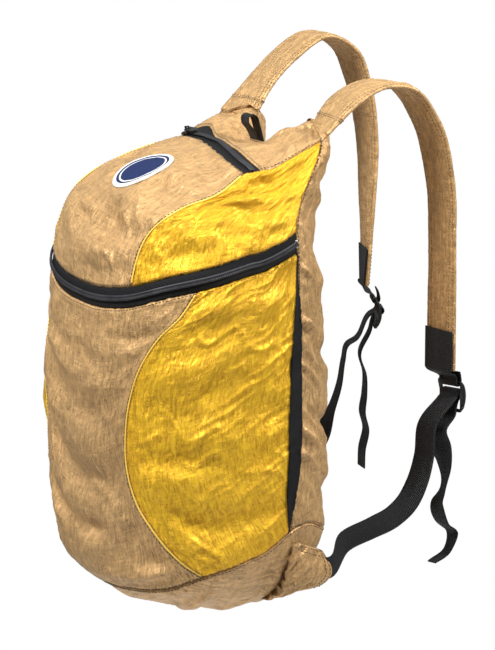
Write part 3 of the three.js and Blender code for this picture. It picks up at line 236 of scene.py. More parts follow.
# Length over the cloth from the top down, on the mean section, at evenly spaced stations
LEVELS = np.linspace(1, 0, 401)
UPS, HALVES, FRONTS, BACKS = section(LEVELS)
SPANS = (HALVES + (BACKS - FRONTS) / 2) / 2
REACHES = np.concatenate([[0], np.cumsum(np.hypot(np.diff(SPANS), np.diff(UPS)))])
FULL_REACH = REACHES[-1]


def reach_at(station):
    """Length over the cloth from the top down to a station."""
    return np.interp(1 - station, 1 - LEVELS, REACHES)


def station_at(reach):
    """Station that a length over the cloth from the top comes down to."""
    return 1 - np.interp(reach, REACHES, 1 - LEVELS)


def station_at_up(share):
    """Station of the level section at a share of the bag's height."""
    return np.interp(share * BAG_HEIGHT, UPS[::-1], LEVELS[::-1])


def plain_form(turn, reach):
    """Superellipse sections about an upright line, drawn out and up into a horn at each strap."""
    up, half, front, back = section(station_at(reach))
    sine, cosine = np.sin(np.radians(turn)), np.cos(np.radians(turn))
    x = half * np.sign(sine) * np.abs(sine) ** (2 / SQUARENESS)
    y = (front + back) / 2 - (back - front) / 2 * np.sign(cosine) * np.abs(cosine) ** (2 / SQUARENESS)
    z = up + 0 * x
    pull = (
        step(np.abs(x), 0.08 * HALF_WIDTH, 0.42 * HALF_WIDTH)
        * step(y, 0.28 * HALF_DEPTH, 0.66 * HALF_DEPTH)
        * step(z, 0.86 * BAG_HEIGHT, 0.95 * BAG_HEIGHT)
    )
    outwards = step(np.abs(x), 0.5 * HALF_WIDTH, 0.7 * HALF_WIDTH)
    x = x + np.sign(x) * outwards * pull * HORN_REACH * 0.3
    return np.stack([x, y + pull * HORN_REACH, z + pull * HORN_RISE], -1)


def unit(v):
    """Vectors along the last axis, each brought to length 1."""
    return v / np.maximum(np.linalg.norm(v, axis=-1, keepdims=True), 1e-12)


def normal_of(form, turn, reach):
    """Outward normal of a form, from its slopes over half a degree and half a millimetre."""
    level = np.clip(reach, 1 * MM, FULL_REACH - 1 * MM)
    side = form(turn + 0.5, level) - form(turn - 0.5, level)
    down = form(turn, level + 0.5 * MM) - form(turn, level - 0.5 * MM)
    return unit(np.cross(down, side))


def fold_depth(turn, share, folds):
    """Sum of leaning bell-shaped dents and swells, each placed by its turn and height."""
    depth = 0 * turn
    for at, up, wide, tall, lean, deep in folds:
        along = (turn - at) * LENGTH_OF_DEGREE
        rise = (share - up) * BAG_HEIGHT
        cosine, sine = np.cos(np.radians(lean)), np.sin(np.radians(lean))
        u = (along * cosine + rise * sine) / (wide * LENGTH_OF_DEGREE)
        w = (rise * cosine - along * sine) / (tall * BAG_HEIGHT)
        depth = depth + deep * HALF_DEPTH * np.exp(-u * u - w * w)
    return depth


def cloth_at(turn, reach):
    """The cloth's outer face: the plain form moved along its normal by the broad folds."""
    share = section(station_at(reach))[0] / BAG_HEIGHT
    wrapped = np.where(turn > 180, turn - 360, turn)
    depth = fold_depth(wrapped, share, FOLDS)
    depth = depth + np.where(wrapped < 0, fold_depth(wrapped + 360, share, FOLDS), 0)
    return plain_form(turn, reach) + normal_of(plain_form, turn, reach) * depth[..., None]


def cloth_normal(turn, reach):
    """Outward normal of the folded cloth."""
    return normal_of(cloth_at, turn, reach)


def overhead(x, y):
    """Turn and reach of the place on the upper bag straight above a point of the plan, by halving."""
    low, high = np.full(np.shape(x), 0.6), np.full(np.shape(x), 0.9995)
    for _ in range(40):
        middle = (low + high) / 2
        _, half, front, back = section(middle)
        size = np.abs(x / half) ** SQUARENESS + np.abs((2 * y - front - back) / (back - front)) ** SQUARENESS
        low, high = np.where(size < 1, middle, low), np.where(size < 1, high, middle)
    _, half, front, back = section(low)
    sine, cosine = x / half, -(2 * y - front - back) / (back - front)
    sine = np.sign(sine) * np.abs(sine) ** (SQUARENESS / 2)
    cosine = np.sign(cosine) * np.abs(cosine) ** (SQUARENESS / 2)
    return np.stack([np.degrees(np.arctan2(sine, cosine)), reach_at(low)], -1)


# Seams, as arrays of turn and reach

def place_at_up(turn, share):
    """Place at a turn and a share of the bag's height."""
    turn, share = np.broadcast_arrays(np.asarray(turn, float), share)
    return np.stack([turn, reach_at(station_at_up(share))], -1)


def flatten(places):
    """Places laid out on a flat plan round the bag's top."""
    turn = np.radians(places[..., 0])
    return np.stack([places[..., 1] * np.sin(turn), -places[..., 1] * np.cos(turn)], -1)


def unflatten(points):
    """Places from points of the flat plan."""
    turn = np.degrees(np.arctan2(points[..., 0], -points[..., 1]))
    return np.stack([turn, np.hypot(points[..., 0], points[..., 1])], -1)


def zip_top(turn):
    """The main zip's upper edge at a turn."""
    return place_at_up(turn, smooth(ZIP_LINE[:, 0], ZIP_LINE[:, 1], turn))


def zip_foot(turn):
    """The main zip's lower edge, one band width further down the cloth."""
    return zip_top(turn) + [0, ZIP_WIDTH]


def base_line(turn):
    """The base's seam at a turn from -180 to 360."""
    folded = np.where(turn > 180, 360 - turn, np.abs(turn))
    return place_at_up(turn, smooth(BASE_SEAM[:, 0], BASE_SEAM[:, 1], folded))


def ridge_line(turn):
    """The ridge behind the yoke at a turn from 119 to 241."""
    folded = np.where(turn > 180, 360 - turn, turn)
    return np.stack([turn, reach_at(smooth(RIDGE[:, 0], RIDGE[:, 1], folded))], -1)


def top_zip_line(share):
    """The top zip's middle in the plan."""
    at = np.linspace(0, 1, len(TOP_ZIP_LINE))
    x, y = (smooth(at, TOP_ZIP_LINE[:, k], share) for k in (0, 1))
    return np.stack([x * HALF_WIDTH, y * HALF_DEPTH], -1)


def top_zip_edge(share, side):
    """An edge of the top zip: its middle moved sideways in the plan, side -1 to the front, 1 to the back."""
    way = unit(top_zip_line(np.minimum(share + 0.01, 1)) - top_zip_line(np.maximum(share - 0.01, 0)))
    middle = top_zip_line(share)
    out = side * TOP_ZIP_WIDTH / 2
    return overhead(middle[..., 0] - way[..., 1] * out, middle[..., 1] + way[..., 0] * out)


def through(places, steps):
    """Equal steps along a smooth line through places."""
    moves = np.diff(places, axis=0) * [LENGTH_OF_DEGREE, 1]
    along = np.concatenate([[0], np.cumsum(np.hypot(moves[:, 0], moves[:, 1]))])
    at = np.linspace(0, along[-1], steps + 1)
    return np.stack([smooth(along, places[:, k], at) for k in (0, 1)], -1)


def mixed(a, b, share):
    """a at share 0 and b at share 1."""
    return a + (b - a) * share


def flat_line(a, b, steps):
    """Straight line on the flat plan."""
    share = np.linspace(0, 1, steps + 1)[:, None]
    return unflatten(mixed(flatten(a), flatten(b), share))


def chain(*lines):
    """Lines joined end to end."""
    return np.concatenate([lines[0]] + [line[1:] for line in lines[1:]])


# Steps along each seam; a panel's opposite seams have equal counts
ACROSS = {"front": 84, "side": 40, "back": 84, "lid_front": 56, "lid_side": 64, "zip_end": 6}
UPWARDS = {"lower": 92, "lid": 38, "base": 44}


def side_seams(sign):
    """Seams of one side, sign 1 for the +X side and -1 for the other."""
    def rows(table):
        return place_at_up(sign * table[:, 0], table[:, 1])

    def ends(start, table, end, steps):
        return through(np.concatenate([[start], rows(table), [end]]), steps)

    share = np.array(1.0 if sign > 0 else 0.0)
    front_end, back_end = top_zip_edge(share, -1), top_zip_edge(share, 1)
    tip = ridge_line(np.array(float(RIDGE[0, 0]))) * [sign, 1]
    low_end, high_end = zip_foot(sign * ZIP_END), zip_top(sign * ZIP_END)
    zip_end_share = np.linspace(0, 1, ACROSS["zip_end"] + 1)[:, None]
    return {
        "lower_arc": ends(base_line(sign * ARC_FOOT), LOWER_ARC, zip_foot(sign * ARC_TOP), UPWARDS["lower"]),
        "upper_arc": ends(zip_top(sign * UPPER_ARC_FOOT), UPPER_ARC, front_end, UPWARDS["lid"]),
        "lower_back": ends(base_line(sign * BACK_SEAM_FOOT), BACK_SEAM, low_end, UPWARDS["lower"]),
        "zip_end": mixed(low_end, high_end, zip_end_share),
        "upper_back": through(np.stack([high_end, tip]), UPWARDS["lid"]),
        "top_end": unflatten(mixed(flatten(front_end), flatten(back_end), zip_end_share)),
        "yoke_side": flat_line(back_end, tip, ACROSS["lid_side"] - ACROSS["zip_end"]),
    }


def patch(bottom, top, left, right, flat=False):
    """Places blended from four seams: the ruled surfaces of both pairs less the one of the corners."""
    if flat:
        bottom, top, left, right = (flatten(seam) for seam in (bottom, top, left, right))
    s = np.linspace(0, 1, len(bottom))[None, :, None]
    u = np.linspace(0, 1, len(left))[:, None, None]
    ruled = mixed(bottom[None], top[None], u) + mixed(left[:, None], right[:, None], s)
    places = ruled - mixed(mixed(bottom[0], bottom[-1], s), mixed(top[0], top[-1], s), u)
    return unflatten(places) if flat else places


def panel_places():
    """Grids of turn and reach for each panel of cloth, rows upwards and columns towards +X."""
    right, left = side_seams(1), side_seams(-1)

    def past_back(line):
        return np.stack([np.where(line[:, 0] < 0, line[:, 0] + 360, line[:, 0]), line[:, 1]], -1)

    def line(edge, low, high, key):
        return edge(np.linspace(low, high, ACROSS[key] + 1))

    front_base = line(base_line, -ARC_FOOT, ARC_FOOT, "front")
    right_base = line(base_line, ARC_FOOT, BACK_SEAM_FOOT, "side")
    left_base = line(base_line, -BACK_SEAM_FOOT, -ARC_FOOT, "side")
    back_base = line(base_line, BACK_SEAM_FOOT, 360 - BACK_SEAM_FOOT, "back")
    front_zip = line(zip_foot, -ARC_TOP, ARC_TOP, "front")
    right_zip = line(zip_foot, ARC_TOP, ZIP_END, "side")
    left_zip = line(zip_foot, -ZIP_END, -ARC_TOP, "side")
    front_lid = line(zip_top, -UPPER_ARC_FOOT, UPPER_ARC_FOOT, "lid_front")
    right_lid = line(zip_top, UPPER_ARC_FOOT, ZIP_END, "lid_side")
    left_lid = line(zip_top, -ZIP_END, -UPPER_ARC_FOOT, "lid_side")
    ridge = line(ridge_line, RIDGE[0, 0], 360 - RIDGE[0, 0], "back")
    lid_share = np.linspace(0, 1, ACROSS["lid_front"] + 1)
    yoke_share = np.linspace(0, 1, ACROSS["back"] + 1)
    top_front, top_back = top_zip_edge(lid_share, -1), top_zip_edge(yoke_share, 1)
    return {
        "front": patch(front_base, front_zip, left["lower_arc"], right["lower_arc"]),
        "side_right": patch(right_base, right_zip, right["lower_arc"], right["lower_back"]),
        "side_left": patch(left_base, left_zip, left["lower_back"], left["lower_arc"]),
        "back": patch(
            back_base,
            ridge,
            chain(right["lower_back"], right["zip_end"], right["upper_back"]),
            past_back(chain(left["lower_back"], left["zip_end"], left["upper_back"])),
        ),
        "lid_front": patch(front_lid, top_front, left["upper_arc"], right["upper_arc"], flat=True),
        "lid_side_right": patch(
            right_lid, chain(right["top_end"], right["yoke_side"]), right["upper_arc"], right["upper_back"]
        ),
        "lid_side_left": patch(
            left_lid, chain(left["top_end"], left["yoke_side"])[::-1], left["upper_back"], left["upper_arc"]
        ),
        "yoke": patch(top_back, ridge[::-1], left["yoke_side"], right["yoke_side"], flat=True),
        "base": base_places(chain(front_base, right_base, back_base, past_back(left_base))),
    }


def base_places(rim):
    """The base as rings round its middle, one row a ring, the first just off the middle."""
    share = np.linspace(0.02, 1, UPWARDS["base"] + 1)[:, None]
    reach = mixed(FULL_REACH, rim[None, :, 1], share)
    return np.stack([np.broadcast_to(rim[None, :, 0], reach.shape), reach], -1)


# Grids and meshes

ORIGIN = np.array([0, 1.55 * HALF_DEPTH, 1.145 * BAG_HEIGHT])


def grid_normals(grid):
    """Unit normals of a grid of points: the column direction crossed with the row direction."""
    return unit(np.cross(np.gradient(grid, axis=1), np.gradient(grid, axis=0)))


def ring_normals(grid):
    """Normals of a grid whose last column is its first."""
    wide = np.concatenate([grid[:, -2:-1], grid, grid[:, 1:2]], 1)
    return grid_normals(wide)[:, 1:-1]


def border_distances(grid):
    """Lengths over the cloth from each point to the left, right, lower and upper border, as four grids."""
    across = np.linalg.norm(np.diff(grid, axis=1), axis=-1)
    upwards = np.linalg.norm(np.diff(grid, axis=0), axis=-1)
    left = np.concatenate([np.zeros((len(grid), 1)), np.cumsum(across, 1)], 1)
    low = np.concatenate([np.zeros((1, grid.shape[1])), np.cumsum(upwards, 0)], 0)
    return left, left[:, -1:] - left, low, low[-1:] - low


def refine(grid):
    """Doubles a grid's steps in both directions with cubic midpoints, keeping its points."""
    def along_rows(g):
        before = np.concatenate([2 * g[:1] - g[1:2], g[:-2]])
        after = np.concatenate([g[2:], 2 * g[-1:] - g[-2:-1]])
        middles = (9 * (g[:-1] + g[1:]) - before - after) / 16
        fine = np.empty((2 * len(g) - 1,) + g.shape[1:])
        fine[::2], fine[1::2] = g, middles
        return fine

    return along_rows(along_rows(grid).swapaxes(0, 1)).swapaxes(0, 1)


def grid_faces(rows, columns, start=0):
    """Quads of a grid of points, rows by columns."""
    a = start + (np.arange(rows - 1)[:, None] * columns + np.arange(columns - 1)[None]).ravel()
    return np.stack([a, a + 1, a + 1 + columns, a + columns], -1)


def add_mesh(name, points, faces, material=None, uvs=None, merge=0.0):
    """Mesh object from points in the bag's own frame; uvs are metres over the cloth, one pair a point."""
    mesh = bpy.data.meshes.new(name)
    mesh.from_pydata(np.asarray(points) - ORIGIN, [], faces)
    if uvs is not None:
        corners = np.empty(len(mesh.loops), np.int32)
        mesh.loops.foreach_get("vertex_index", corners)
        layer = mesh.uv_layers.new(name="cloth")
        layer.data.foreach_set("uv", np.asarray(uvs, np.float32)[corners].ravel())
    if merge:
        work = bmesh.new()
        work.from_mesh(mesh)
        bmesh.ops.remove_doubles(work, verts=work.verts, dist=merge)
        bmesh.ops.dissolve_degenerate(work, edges=work.edges, dist=merge / 10)
        work.to_mesh(mesh)
        work.free()
    mesh.shade_smooth()
    if material is not None:
        mesh.materials.append(material)
    piece = bpy.data.objects.new(name, mesh)
    bpy.context.scene.collection.objects.link(piece)
    return piece


def add_piece(name, points, faces, material, slot, nodes=(), uvs=None, merge=0.0, body="bag"):
    """A finished piece that rides on its body, takes the material given and stands for CAD nodes; the slot is
    not used.
    """
    piece = add_mesh(name, points, faces, material, uvs, merge)
    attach(piece, body)
    if nodes:
        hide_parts(*nodes)
    return piece


def add_sheet(name, grid, normals, thick, over, paint, slot, nodes, ring=False, merge=0.0):
    """A closed wall of cloth as a finished piece; over is its places in metres over the cloth."""
    points, faces = wall(grid, normals, thick, ring)
    uvs = np.concatenate([over.reshape(-1, 2), over[::2, ::2].reshape(-1, 2)])
    return add_piece(name, points, faces, finish_of(paint), slot, nodes, uvs, merge)


def wall(grid, normals, thick, ring=False):
    """Points and faces of a closed wall: the grid, every second point of it moved one thickness
    inwards, and a rim between the two. A ring's first row is closed as a pole."""
    inner = (grid - normals * thick)[::2, ::2]
    rows, columns = grid.shape[:2]
    count = rows * columns
    low_rows, low_columns = inner.shape[:2]
    points = np.concatenate([grid.reshape(-1, 3), inner.reshape(-1, 3)])
    outside = np.arange(count).reshape(rows, columns)
    inside = count + np.arange(low_rows * low_columns).reshape(low_rows, low_columns)

    def border(index):
        if ring:
            return index[-1]
        return np.concatenate([index[0], index[1:, -1], index[-1, -2::-1], index[-2::-1, 0]])

    out, back = border(outside), border(inside)
    rim = np.stack([out[2::2], out[1::2], out[:-2:2], back[:-1], back[1:]], -1)
    if ring:
        rim = rim[:, ::-1]
    inner_faces = grid_faces(low_rows, low_columns, count)[:, ::-1]
    return points, grid_faces(rows, columns).tolist() + inner_faces.tolist() + rim.tolist()


# Irregular waves and creases

def wave(s, length, seed):
    """Sum of sines round a wavelength, with wandering phases, about 1 at its highest."""
    chance = np.random.default_rng(seed)
    total = 0 * s
    for _ in range(3):
        size = length * (0.75 + 0.5 * chance.random())
        drift = length * (4 + 3 * chance.random())
        turn = 2 * np.pi * chance.random(2)
        total = total + np.sin(2 * np.pi * s / size + 1.6 * np.sin(2 * np.pi * s / drift + turn[0]) + turn[1])
    return total / 2.2


def hash_pair(cell, seed):
    """Two random numbers from -1 to 1 for each whole-numbered cell, from a folded sine."""
    mixed_cell = cell @ np.array([[127.1, 269.5], [311.7, 183.3]]) + seed * 17.31
    return 2 * np.modf(np.abs(np.sin(mixed_cell)) * 43758.5453)[0] - 1


def crumple(p, size, seed, sharp=5.0):
    """Creased facets: planes tilted at random, one a jittered cell, each point taking its nearest ones."""
    scaled = p / size
    cell = np.floor(scaled)
    total, weight = 0, 0
    for i in (-1, 0, 1):
        for j in (-1, 0, 1):
            here = cell + [i, j]
            centre = here + 0.5 + 0.45 * hash_pair(here, seed)
            away = scaled - centre
            near = np.exp(-sharp * (away**2).sum(-1))
            total = total + near * (away * hash_pair(here, seed + 3)).sum(-1)
            weight = weight + near
    return total / weight


# Cloth of the panels

PANELS = {
    "front": ("front_panel", "tan_nylon"),
    "side_right": ("side_panel_right", "yellow_nylon"),
    "side_left": ("side_panel_left", "yellow_nylon"),
    "back": ("back_panel", "tan_nylon"),
    "lid_front": ("lid_front", "tan_nylon"),
    "lid_side_right": ("lid_side_right", "yellow_nylon"),
    "lid_side_left": ("lid_side_left", "yellow_nylon"),
    "yoke": ("yoke", "tan_nylon"),
    "base": ("base_panel", "tan_nylon"),
}
SEEDS = {name: 7 * k + 3 for k, name in enumerate(PANELS)}
SURFACES = {}


def badge_spot():
    """Middle of the round badge on the cloth."""
    return cloth_at(*overhead(*(PATCH_PLACE * [HALF_WIDTH, HALF_DEPTH])))


def settle(grids, cloth):
    """Cloth simulation of all panels at once: each is held along its seams and cut a little too large, so it
    crumples and swells between them. No point moves further than the cloth's limit."""
    rough = {}
    for name, grid in grids.items():
        closed = name == "base"
        body = grid[:, :-1] if closed else grid
        rows, columns = body.shape[:2]
        index = np.arange(rows * columns).reshape(rows, columns)
        if closed:
            ring = np.concatenate([index, index[:, :1]], 1)
            corners = ring[:-1, :-1], ring[:-1, 1:], ring[1:, 1:], ring[1:, :-1]
            faces = np.stack(corners, -1).reshape(-1, 4)
            held = np.concatenate([index[0], index[-1]])
        else:
            faces = grid_faces(rows, columns)
            held = np.unique(np.concatenate([index[0], index[-1], index[:, 0], index[:, -1]]))
            if name == "lid_front":
                under = np.linalg.norm(grid - badge_spot(), axis=-1) < 0.6 * PATCH_DIAMETER
                held = np.union1d(held, index[under])
        chance = np.random.default_rng(SEEDS[name])
        normals = ring_normals(grid)[:, :-1] if closed else grid_normals(grid)
        start = body + normals * chance.normal(0, 0.3 * MM, (rows, columns, 1))
        piece = add_mesh("rough_" + name, start.reshape(-1, 3), faces.tolist(), None)
        piece.vertex_groups.new(name="seam").add(held.tolist(), 1.0, "REPLACE")
        modifier = piece.modifiers.new("cloth", "CLOTH")
        settings = modifier.settings
        settings.quality = 5
        settings.mass = 0.1
        settings.air_damping = 2
        settings.tension_stiffness = 25
        settings.compression_stiffness = 25
        settings.shear_stiffness = 10
        settings.bending_stiffness = cloth.stiffness
        settings.vertex_group_mass = "seam"
        settings.shrink_min = -cloth.spare
        settings.use_pressure = True
        settings.uniform_pressure_force = cloth.pressure
        settings.effector_weights.gravity = 0.1
        modifier.collision_settings.use_collision = False
        modifier.point_cache.frame_start = 1
        modifier.point_cache.frame_end = cloth.frames
        rough[name] = (piece, body.shape, closed)
    for number in range(1, cloth.frames + 1):
        bpy.context.scene.frame_set(number)
    graph = bpy.context.evaluated_depsgraph_get()
    settled = {}
    for name, (piece, shape, closed) in rough.items():
        points = np.empty(shape[0] * shape[1] * 3, np.float32)
        piece.evaluated_get(graph).data.vertices.foreach_get("co", points)
        body = points.reshape(shape).astype(float) + ORIGIN
        if closed:
            body = np.concatenate([body, body[:, :1]], 1)
        move = evened(body - grids[name], cloth.evening)
        size = np.linalg.norm(move, axis=-1, keepdims=True)
        settled[name] = grids[name] + move * np.minimum(1, cloth.limit / np.maximum(size, 1e-9))
        data = piece.data
        bpy.data.objects.remove(piece)
        bpy.data.meshes.remove(data)
    bpy.context.scene.frame_set(1)
    return settled


# Puckers along a panel's left, right, lower and upper seams: their height in puckers of the setting, their
# spacing and how far they reach in millimetres, and their slant
PUCKERS = {
    "front": ((0.6, 12, 14, 0.4), (0.6, 12, 14, -0.4), (0.8, 12, 16, 0.3), (0.7, 9, 16, 0.2)),
    "side_right": ((0.9, 11, 16, 0.4), (3.2, 10, 60, 0.15), (0.9, 11, 16, 0.2), (1.2, 11, 18, 0.5)),
    "side_left": ((3.2, 10, 60, 0.15), (0.9, 11, 16, 0.4), (0.9, 11, 16, 0.2), (1.2, 11, 18, 0.5)),
    "back": ((9.0, 17, 26, 1.0), (9.0, 17, 26, 1.0), (1.6, 16, 24, 0.4), (1.6, 16, 20, 0.4)),
    "lid_front": ((0.5, 11, 14, 0.3), (0.5, 11, 14, -0.3), (0.9, 10, 18, 0.2), (0.9, 12, 12, 0.3)),
    "lid_side_right": ((0.7, 11, 12, 0.3), (1.4, 13, 16, 0.6), (3.4, 9, 26, 0.35), (1.4, 12, 18, 0.4)),
    "lid_side_left": ((1.4, 13, 16, 0.6), (0.7, 11, 12, 0.3), (3.4, 9, 26, 0.35), (1.4, 12, 18, 0.4)),
    "yoke": ((0.9, 12, 14, 0.3), (0.9, 12, 14, 0.3), (0.9, 12, 14, 0.3), (1.8, 15, 20, 0.5)),
    "base": ((0.9, 13, 16, 0.3),),
}


def seam_relief(distances, along, cloth, name):
    """Height added near the seams: a doubled edge that dips into the seam, and puckers across it that fade
    with distance, each the rounded upper part of an irregular wave."""
    relief = 0
    for k, (away, run, (high, pace, reach, slant)) in enumerate(zip(distances, along, PUCKERS[name])):
        relief = relief - 1.3 * MM * np.exp(-((away / (1.2 * MM)) ** 2))
        relief = relief + 0.35 * MM * (step(away, 0.6 * MM, 1.8 * MM) - step(away, 5 * MM, 6.5 * MM))
        phase = wave(run + slant * away, pace * MM, SEEDS[name] + k)
        swing = wave(run + 0.5 * away, 3.1 * pace * MM, SEEDS[name] + 20 + k)
        strength = step(swing, -0.8, 0.9) * (0.7 + 0.3 * wave(run, 9 * pace * MM, SEEDS[name] + 30 + k))
        gather = (np.maximum(phase, -0.3) + 0.3) * np.exp(-away / (reach * MM)) * strength
        relief = relief + high * cloth.pucker * step(away, 1.2 * MM, 0.35 * reach * MM) * gather
    return relief


def evened(field, times):
    """A grid of values, each point brought towards its neighbours several times, borders kept."""
    field = field.copy()
    for _ in range(times):
        middle = field[1:-1, 1:-1]
        around = field[:-2, 1:-1] + field[2:, 1:-1] + field[1:-1, :-2] + field[1:-1, 2:]
        field[1:-1, 1:-1] = middle * 0.5 + around * 0.125
    return field


def panel_surface(name, places, settled, cloth):
    """Fine grid of a panel and its metres over the cloth: the settled cloth, its steps halved, with facets of
    two sizes and the relief of its seams."""
    closed = name == "base"
    grid = refine(settled)
    left, right, low, high = border_distances(grid)
    if closed:
        turn, out = np.radians(refine(places)[..., 0]), FULL_REACH - refine(places)[..., 1]
        over = np.stack([out * np.sin(turn), out * np.cos(turn)], -1)
        distances, along = [high], [left]
    else:
        over = np.stack([(left - right) / 2, (low - high) / 2], -1)
        distances, along = [left, right, low, high], [low, low, left, left]
    seed = SEEDS[name]
    normals = ring_normals(grid) if closed else grid_normals(grid)
    warp = np.stack([wave(over[..., 1], 70 * MM, seed + 5), wave(over[..., 0], 60 * MM, seed + 6)], -1)
    bent = over + 7 * MM * warp
    away = np.minimum.reduce(distances)
    height = crumple(bent * [0.7, 1.2], 34 * MM, seed) + 0.32 * crumple(bent * [1.3, 0.8], 11 * MM, seed + 9)
    height = cloth.crumple * height * step(away, 0, 16 * MM) * (1.6 if name == "back" else 1)
    lean = over[..., 1] + 0.22 * over[..., 0]
    sag = wave(lean + 9 * MM * warp[..., 0], 62 * MM, seed + 2)
    sag = sag * (0.6 + 0.4 * wave(over[..., 0], 90 * MM, seed + 4))
    height = height + cloth.sag * sag * step(away, 2 * MM, 30 * MM)
    fold = wave(over[..., 1] + 0.5 * over[..., 0] + 12 * MM * warp[..., 1], 24 * MM, seed + 7)
    crease = np.maximum(fold, 0) ** 2
    crease = crease * (0.5 + 0.5 * wave(over[..., 0] - 0.3 * over[..., 1], 70 * MM, seed + 8))
    height = height + 0.45 * cloth.sag * crease * step(away, 2 * MM, 20 * MM)
    height = height + seam_relief(distances, along, cloth, name)
    if name == "lid_front":
        badge_away = np.linalg.norm(grid - badge_spot(), axis=-1)
        height = 0.75 * height * step(badge_away, 0.5 * PATCH_DIAMETER, 0.75 * PATCH_DIAMETER)
    if closed:
        height[:, -1] = height[:, 0]
    grid = grid + normals * height[..., None]
    if closed:
        grid[:, -1] = grid[:, 0]
        grid[0] = grid[0].mean(0)
    return grid, over


# Bands: a profile carried along a path

def to_place(rows):
    """Points from shares of half the width, half the depth and the height."""
    return np.asarray(rows, float)[..., :3] * [HALF_WIDTH, HALF_DEPTH, BAG_HEIGHT]


def to_side(turn, tilt):
    """Direction of a band's width, from its turn off +X and its tilt off level, in degrees."""
    turn, tilt = np.broadcast_arrays(np.radians(turn), np.radians(tilt))
    return np.stack([np.cos(tilt) * np.cos(turn), np.cos(tilt) * np.sin(turn), np.sin(tilt)], -1)


def frames_along(places, sides, widths, pace):
    """Smooth line through places at an even pace, with the direction and length of the width there."""
    places, sides = np.asarray(places), np.asarray(sides)
    along = np.concatenate([[0], np.cumsum(np.linalg.norm(np.diff(places, axis=0), axis=1))])
    at = np.linspace(0, along[-1], max(2, int(round(along[-1] / pace))) + 1)
    point = np.stack([smooth(along, places[:, k], at) for k in range(3)], -1)
    side = np.stack([smooth(along, sides[:, k], at) for k in range(3)], -1)
    width = smooth(along, np.asarray(widths, float), at)
    return line_of(point, side, width)


def line_of(point, side, width):
    """A path with its ways, widths and ups squared to each other."""
    way = unit(np.gradient(point, axis=0))
    side = unit(side - way * (side * way).sum(-1, keepdims=True))
    length = np.concatenate([[0], np.cumsum(np.linalg.norm(np.diff(point, axis=0), axis=1))])
    up = np.cross(way, side)
    return {"point": point, "side": side, "width": width, "up": up, "way": way, "length": length}


def tube_faces(rows, around):
    """Quads of a tube of rings of points, and its two end faces."""
    index = np.arange(rows * around).reshape(rows, around)
    ring = np.concatenate([index, index[:, :1]], 1)
    faces = np.stack([ring[:-1, :-1], ring[1:, :-1], ring[1:, 1:], ring[:-1, 1:]], -1).reshape(-1, 4)
    return faces.tolist() + [index[0].tolist(), index[-1, ::-1].tolist()]


def band(line, thick, columns=12, relief=None):
    """Closed band along a line: a flat section with rounded edges, its two faces moved by relief(across,
    along, width, face), and both ends drawn in. Returns points, faces and metres over the band."""
    share = np.linspace(-1, 1, columns + 1)
    share = np.concatenate([share, share[-2:0:-1]])
    face = np.concatenate([np.ones(columns + 1), -np.ones(columns - 1)])
    swell = (1 - np.abs(share) ** 14) ** 0.5
    around = 2 * columns
    across = line["width"][:, None] / 2 * share[None]
    height = np.broadcast_to(thick / 2 * face * swell, across.shape)
    along = np.broadcast_to(line["length"][:, None], across.shape)
    if relief is not None:
        height = height + relief(across, along, line["width"][:, None], face[None]) * (face * swell)[None]
    # For each end, rows of: ring copied, way moved, how far in thicknesses, and the share of the height kept
    rows = [(0, -1, 0.35, 0.4), (0, -1, 0.25, 0.85)], [(-1, 1, 0.25, 0.85), (-1, 1, 0.35, 0.4)]

    def place(points, sides, ups, wide, high):
        moved = points[..., None, :] + sides[..., None, :] * wide[..., None]
        return moved + ups[..., None, :] * high[..., None]

    body = place(line["point"], line["side"], line["up"], across, height)
    ends = [
        [
            place(line["point"][at] + sign * out * thick * line["way"][at], line["side"][at], line["up"][at],
                  across[at] * (1 - 0.02 * (1 - size)), height[at] * size)
            for at, sign, out, size in group
        ]
        for group in rows
    ]
    grid = np.concatenate([np.stack(ends[0]), body, np.stack(ends[1])])
    uv = np.stack([across, along], -1)
    uv = np.concatenate([uv[:1], uv[:1], uv, uv[-1:], uv[-1:]])
    return grid.reshape(-1, 3), tube_faces(len(grid), around), uv.reshape(-1, 2)


def stitches(points, normals, sewing, thick=None):
    """Thread dashes along a line: a row of bent capsules, each dipping into the cloth at its two ends."""
    thick = thick or sewing.thickness
    along = np.concatenate([[0], np.cumsum(np.linalg.norm(np.diff(points, axis=0), axis=1))])
    count = max(1, int(along[-1] / sewing.pitch))
    middle = (np.arange(count) + 0.5) * along[-1] / count

    def at(values, where):
        return np.stack([np.interp(where, along, values[:, k]) for k in range(3)], -1)

    spot, normal = at(points, middle), unit(at(normals, middle))
    way = unit(at(points, middle + sewing.length / 2) - at(points, middle - sewing.length / 2))
    side = np.cross(normal, way)
    run = np.array([-0.5, -0.42, 0, 0.42, 0.5])
    round_off = np.array([0.3, 0.9, 1.0, 0.9, 0.3])
    lift = np.array([-0.55, 0.0, 0.35, 0.0, -0.55])
    angle = 2 * np.pi * np.arange(6) / 6
    width = thick / 2 * round_off[:, None] * np.cos(angle)
    height = thick / 2 * round_off[:, None] * np.sin(angle) + thick * lift[:, None]
    reach = np.broadcast_to(sewing.length * run[:, None], width.shape)
    grid = (
        spot[:, None, None] + way[:, None, None] * reach[..., None] + side[:, None, None] * width[..., None]
        + normal[:, None, None] * height[..., None]
    )
    index = np.arange(width.size).reshape(width.shape)
    ring = np.concatenate([index, index[:, :1]], 1)
    faces = np.stack([ring[:-1, :-1], ring[:-1, 1:], ring[1:, 1:], ring[1:, :-1]], -1).reshape(-1, 4)
    first = width.size * np.arange(count)[:, None, None]
    every = (faces[None] + first).reshape(-1, 4).tolist()
    caps = np.stack([index[0, ::-1], index[-1]])
    every += (caps[None] + first).reshape(-1, len(angle)).tolist()
    return grid.reshape(-1, 3), every


def joined(parts):
    """Several lots of points and faces as one."""
    points, faces, start = [], [], 0
    for some, quads in parts:
        points.append(some)
        faces += [[corner + start for corner in quad] for quad in quads]
        start += len(some)
    return np.concatenate(points), faces


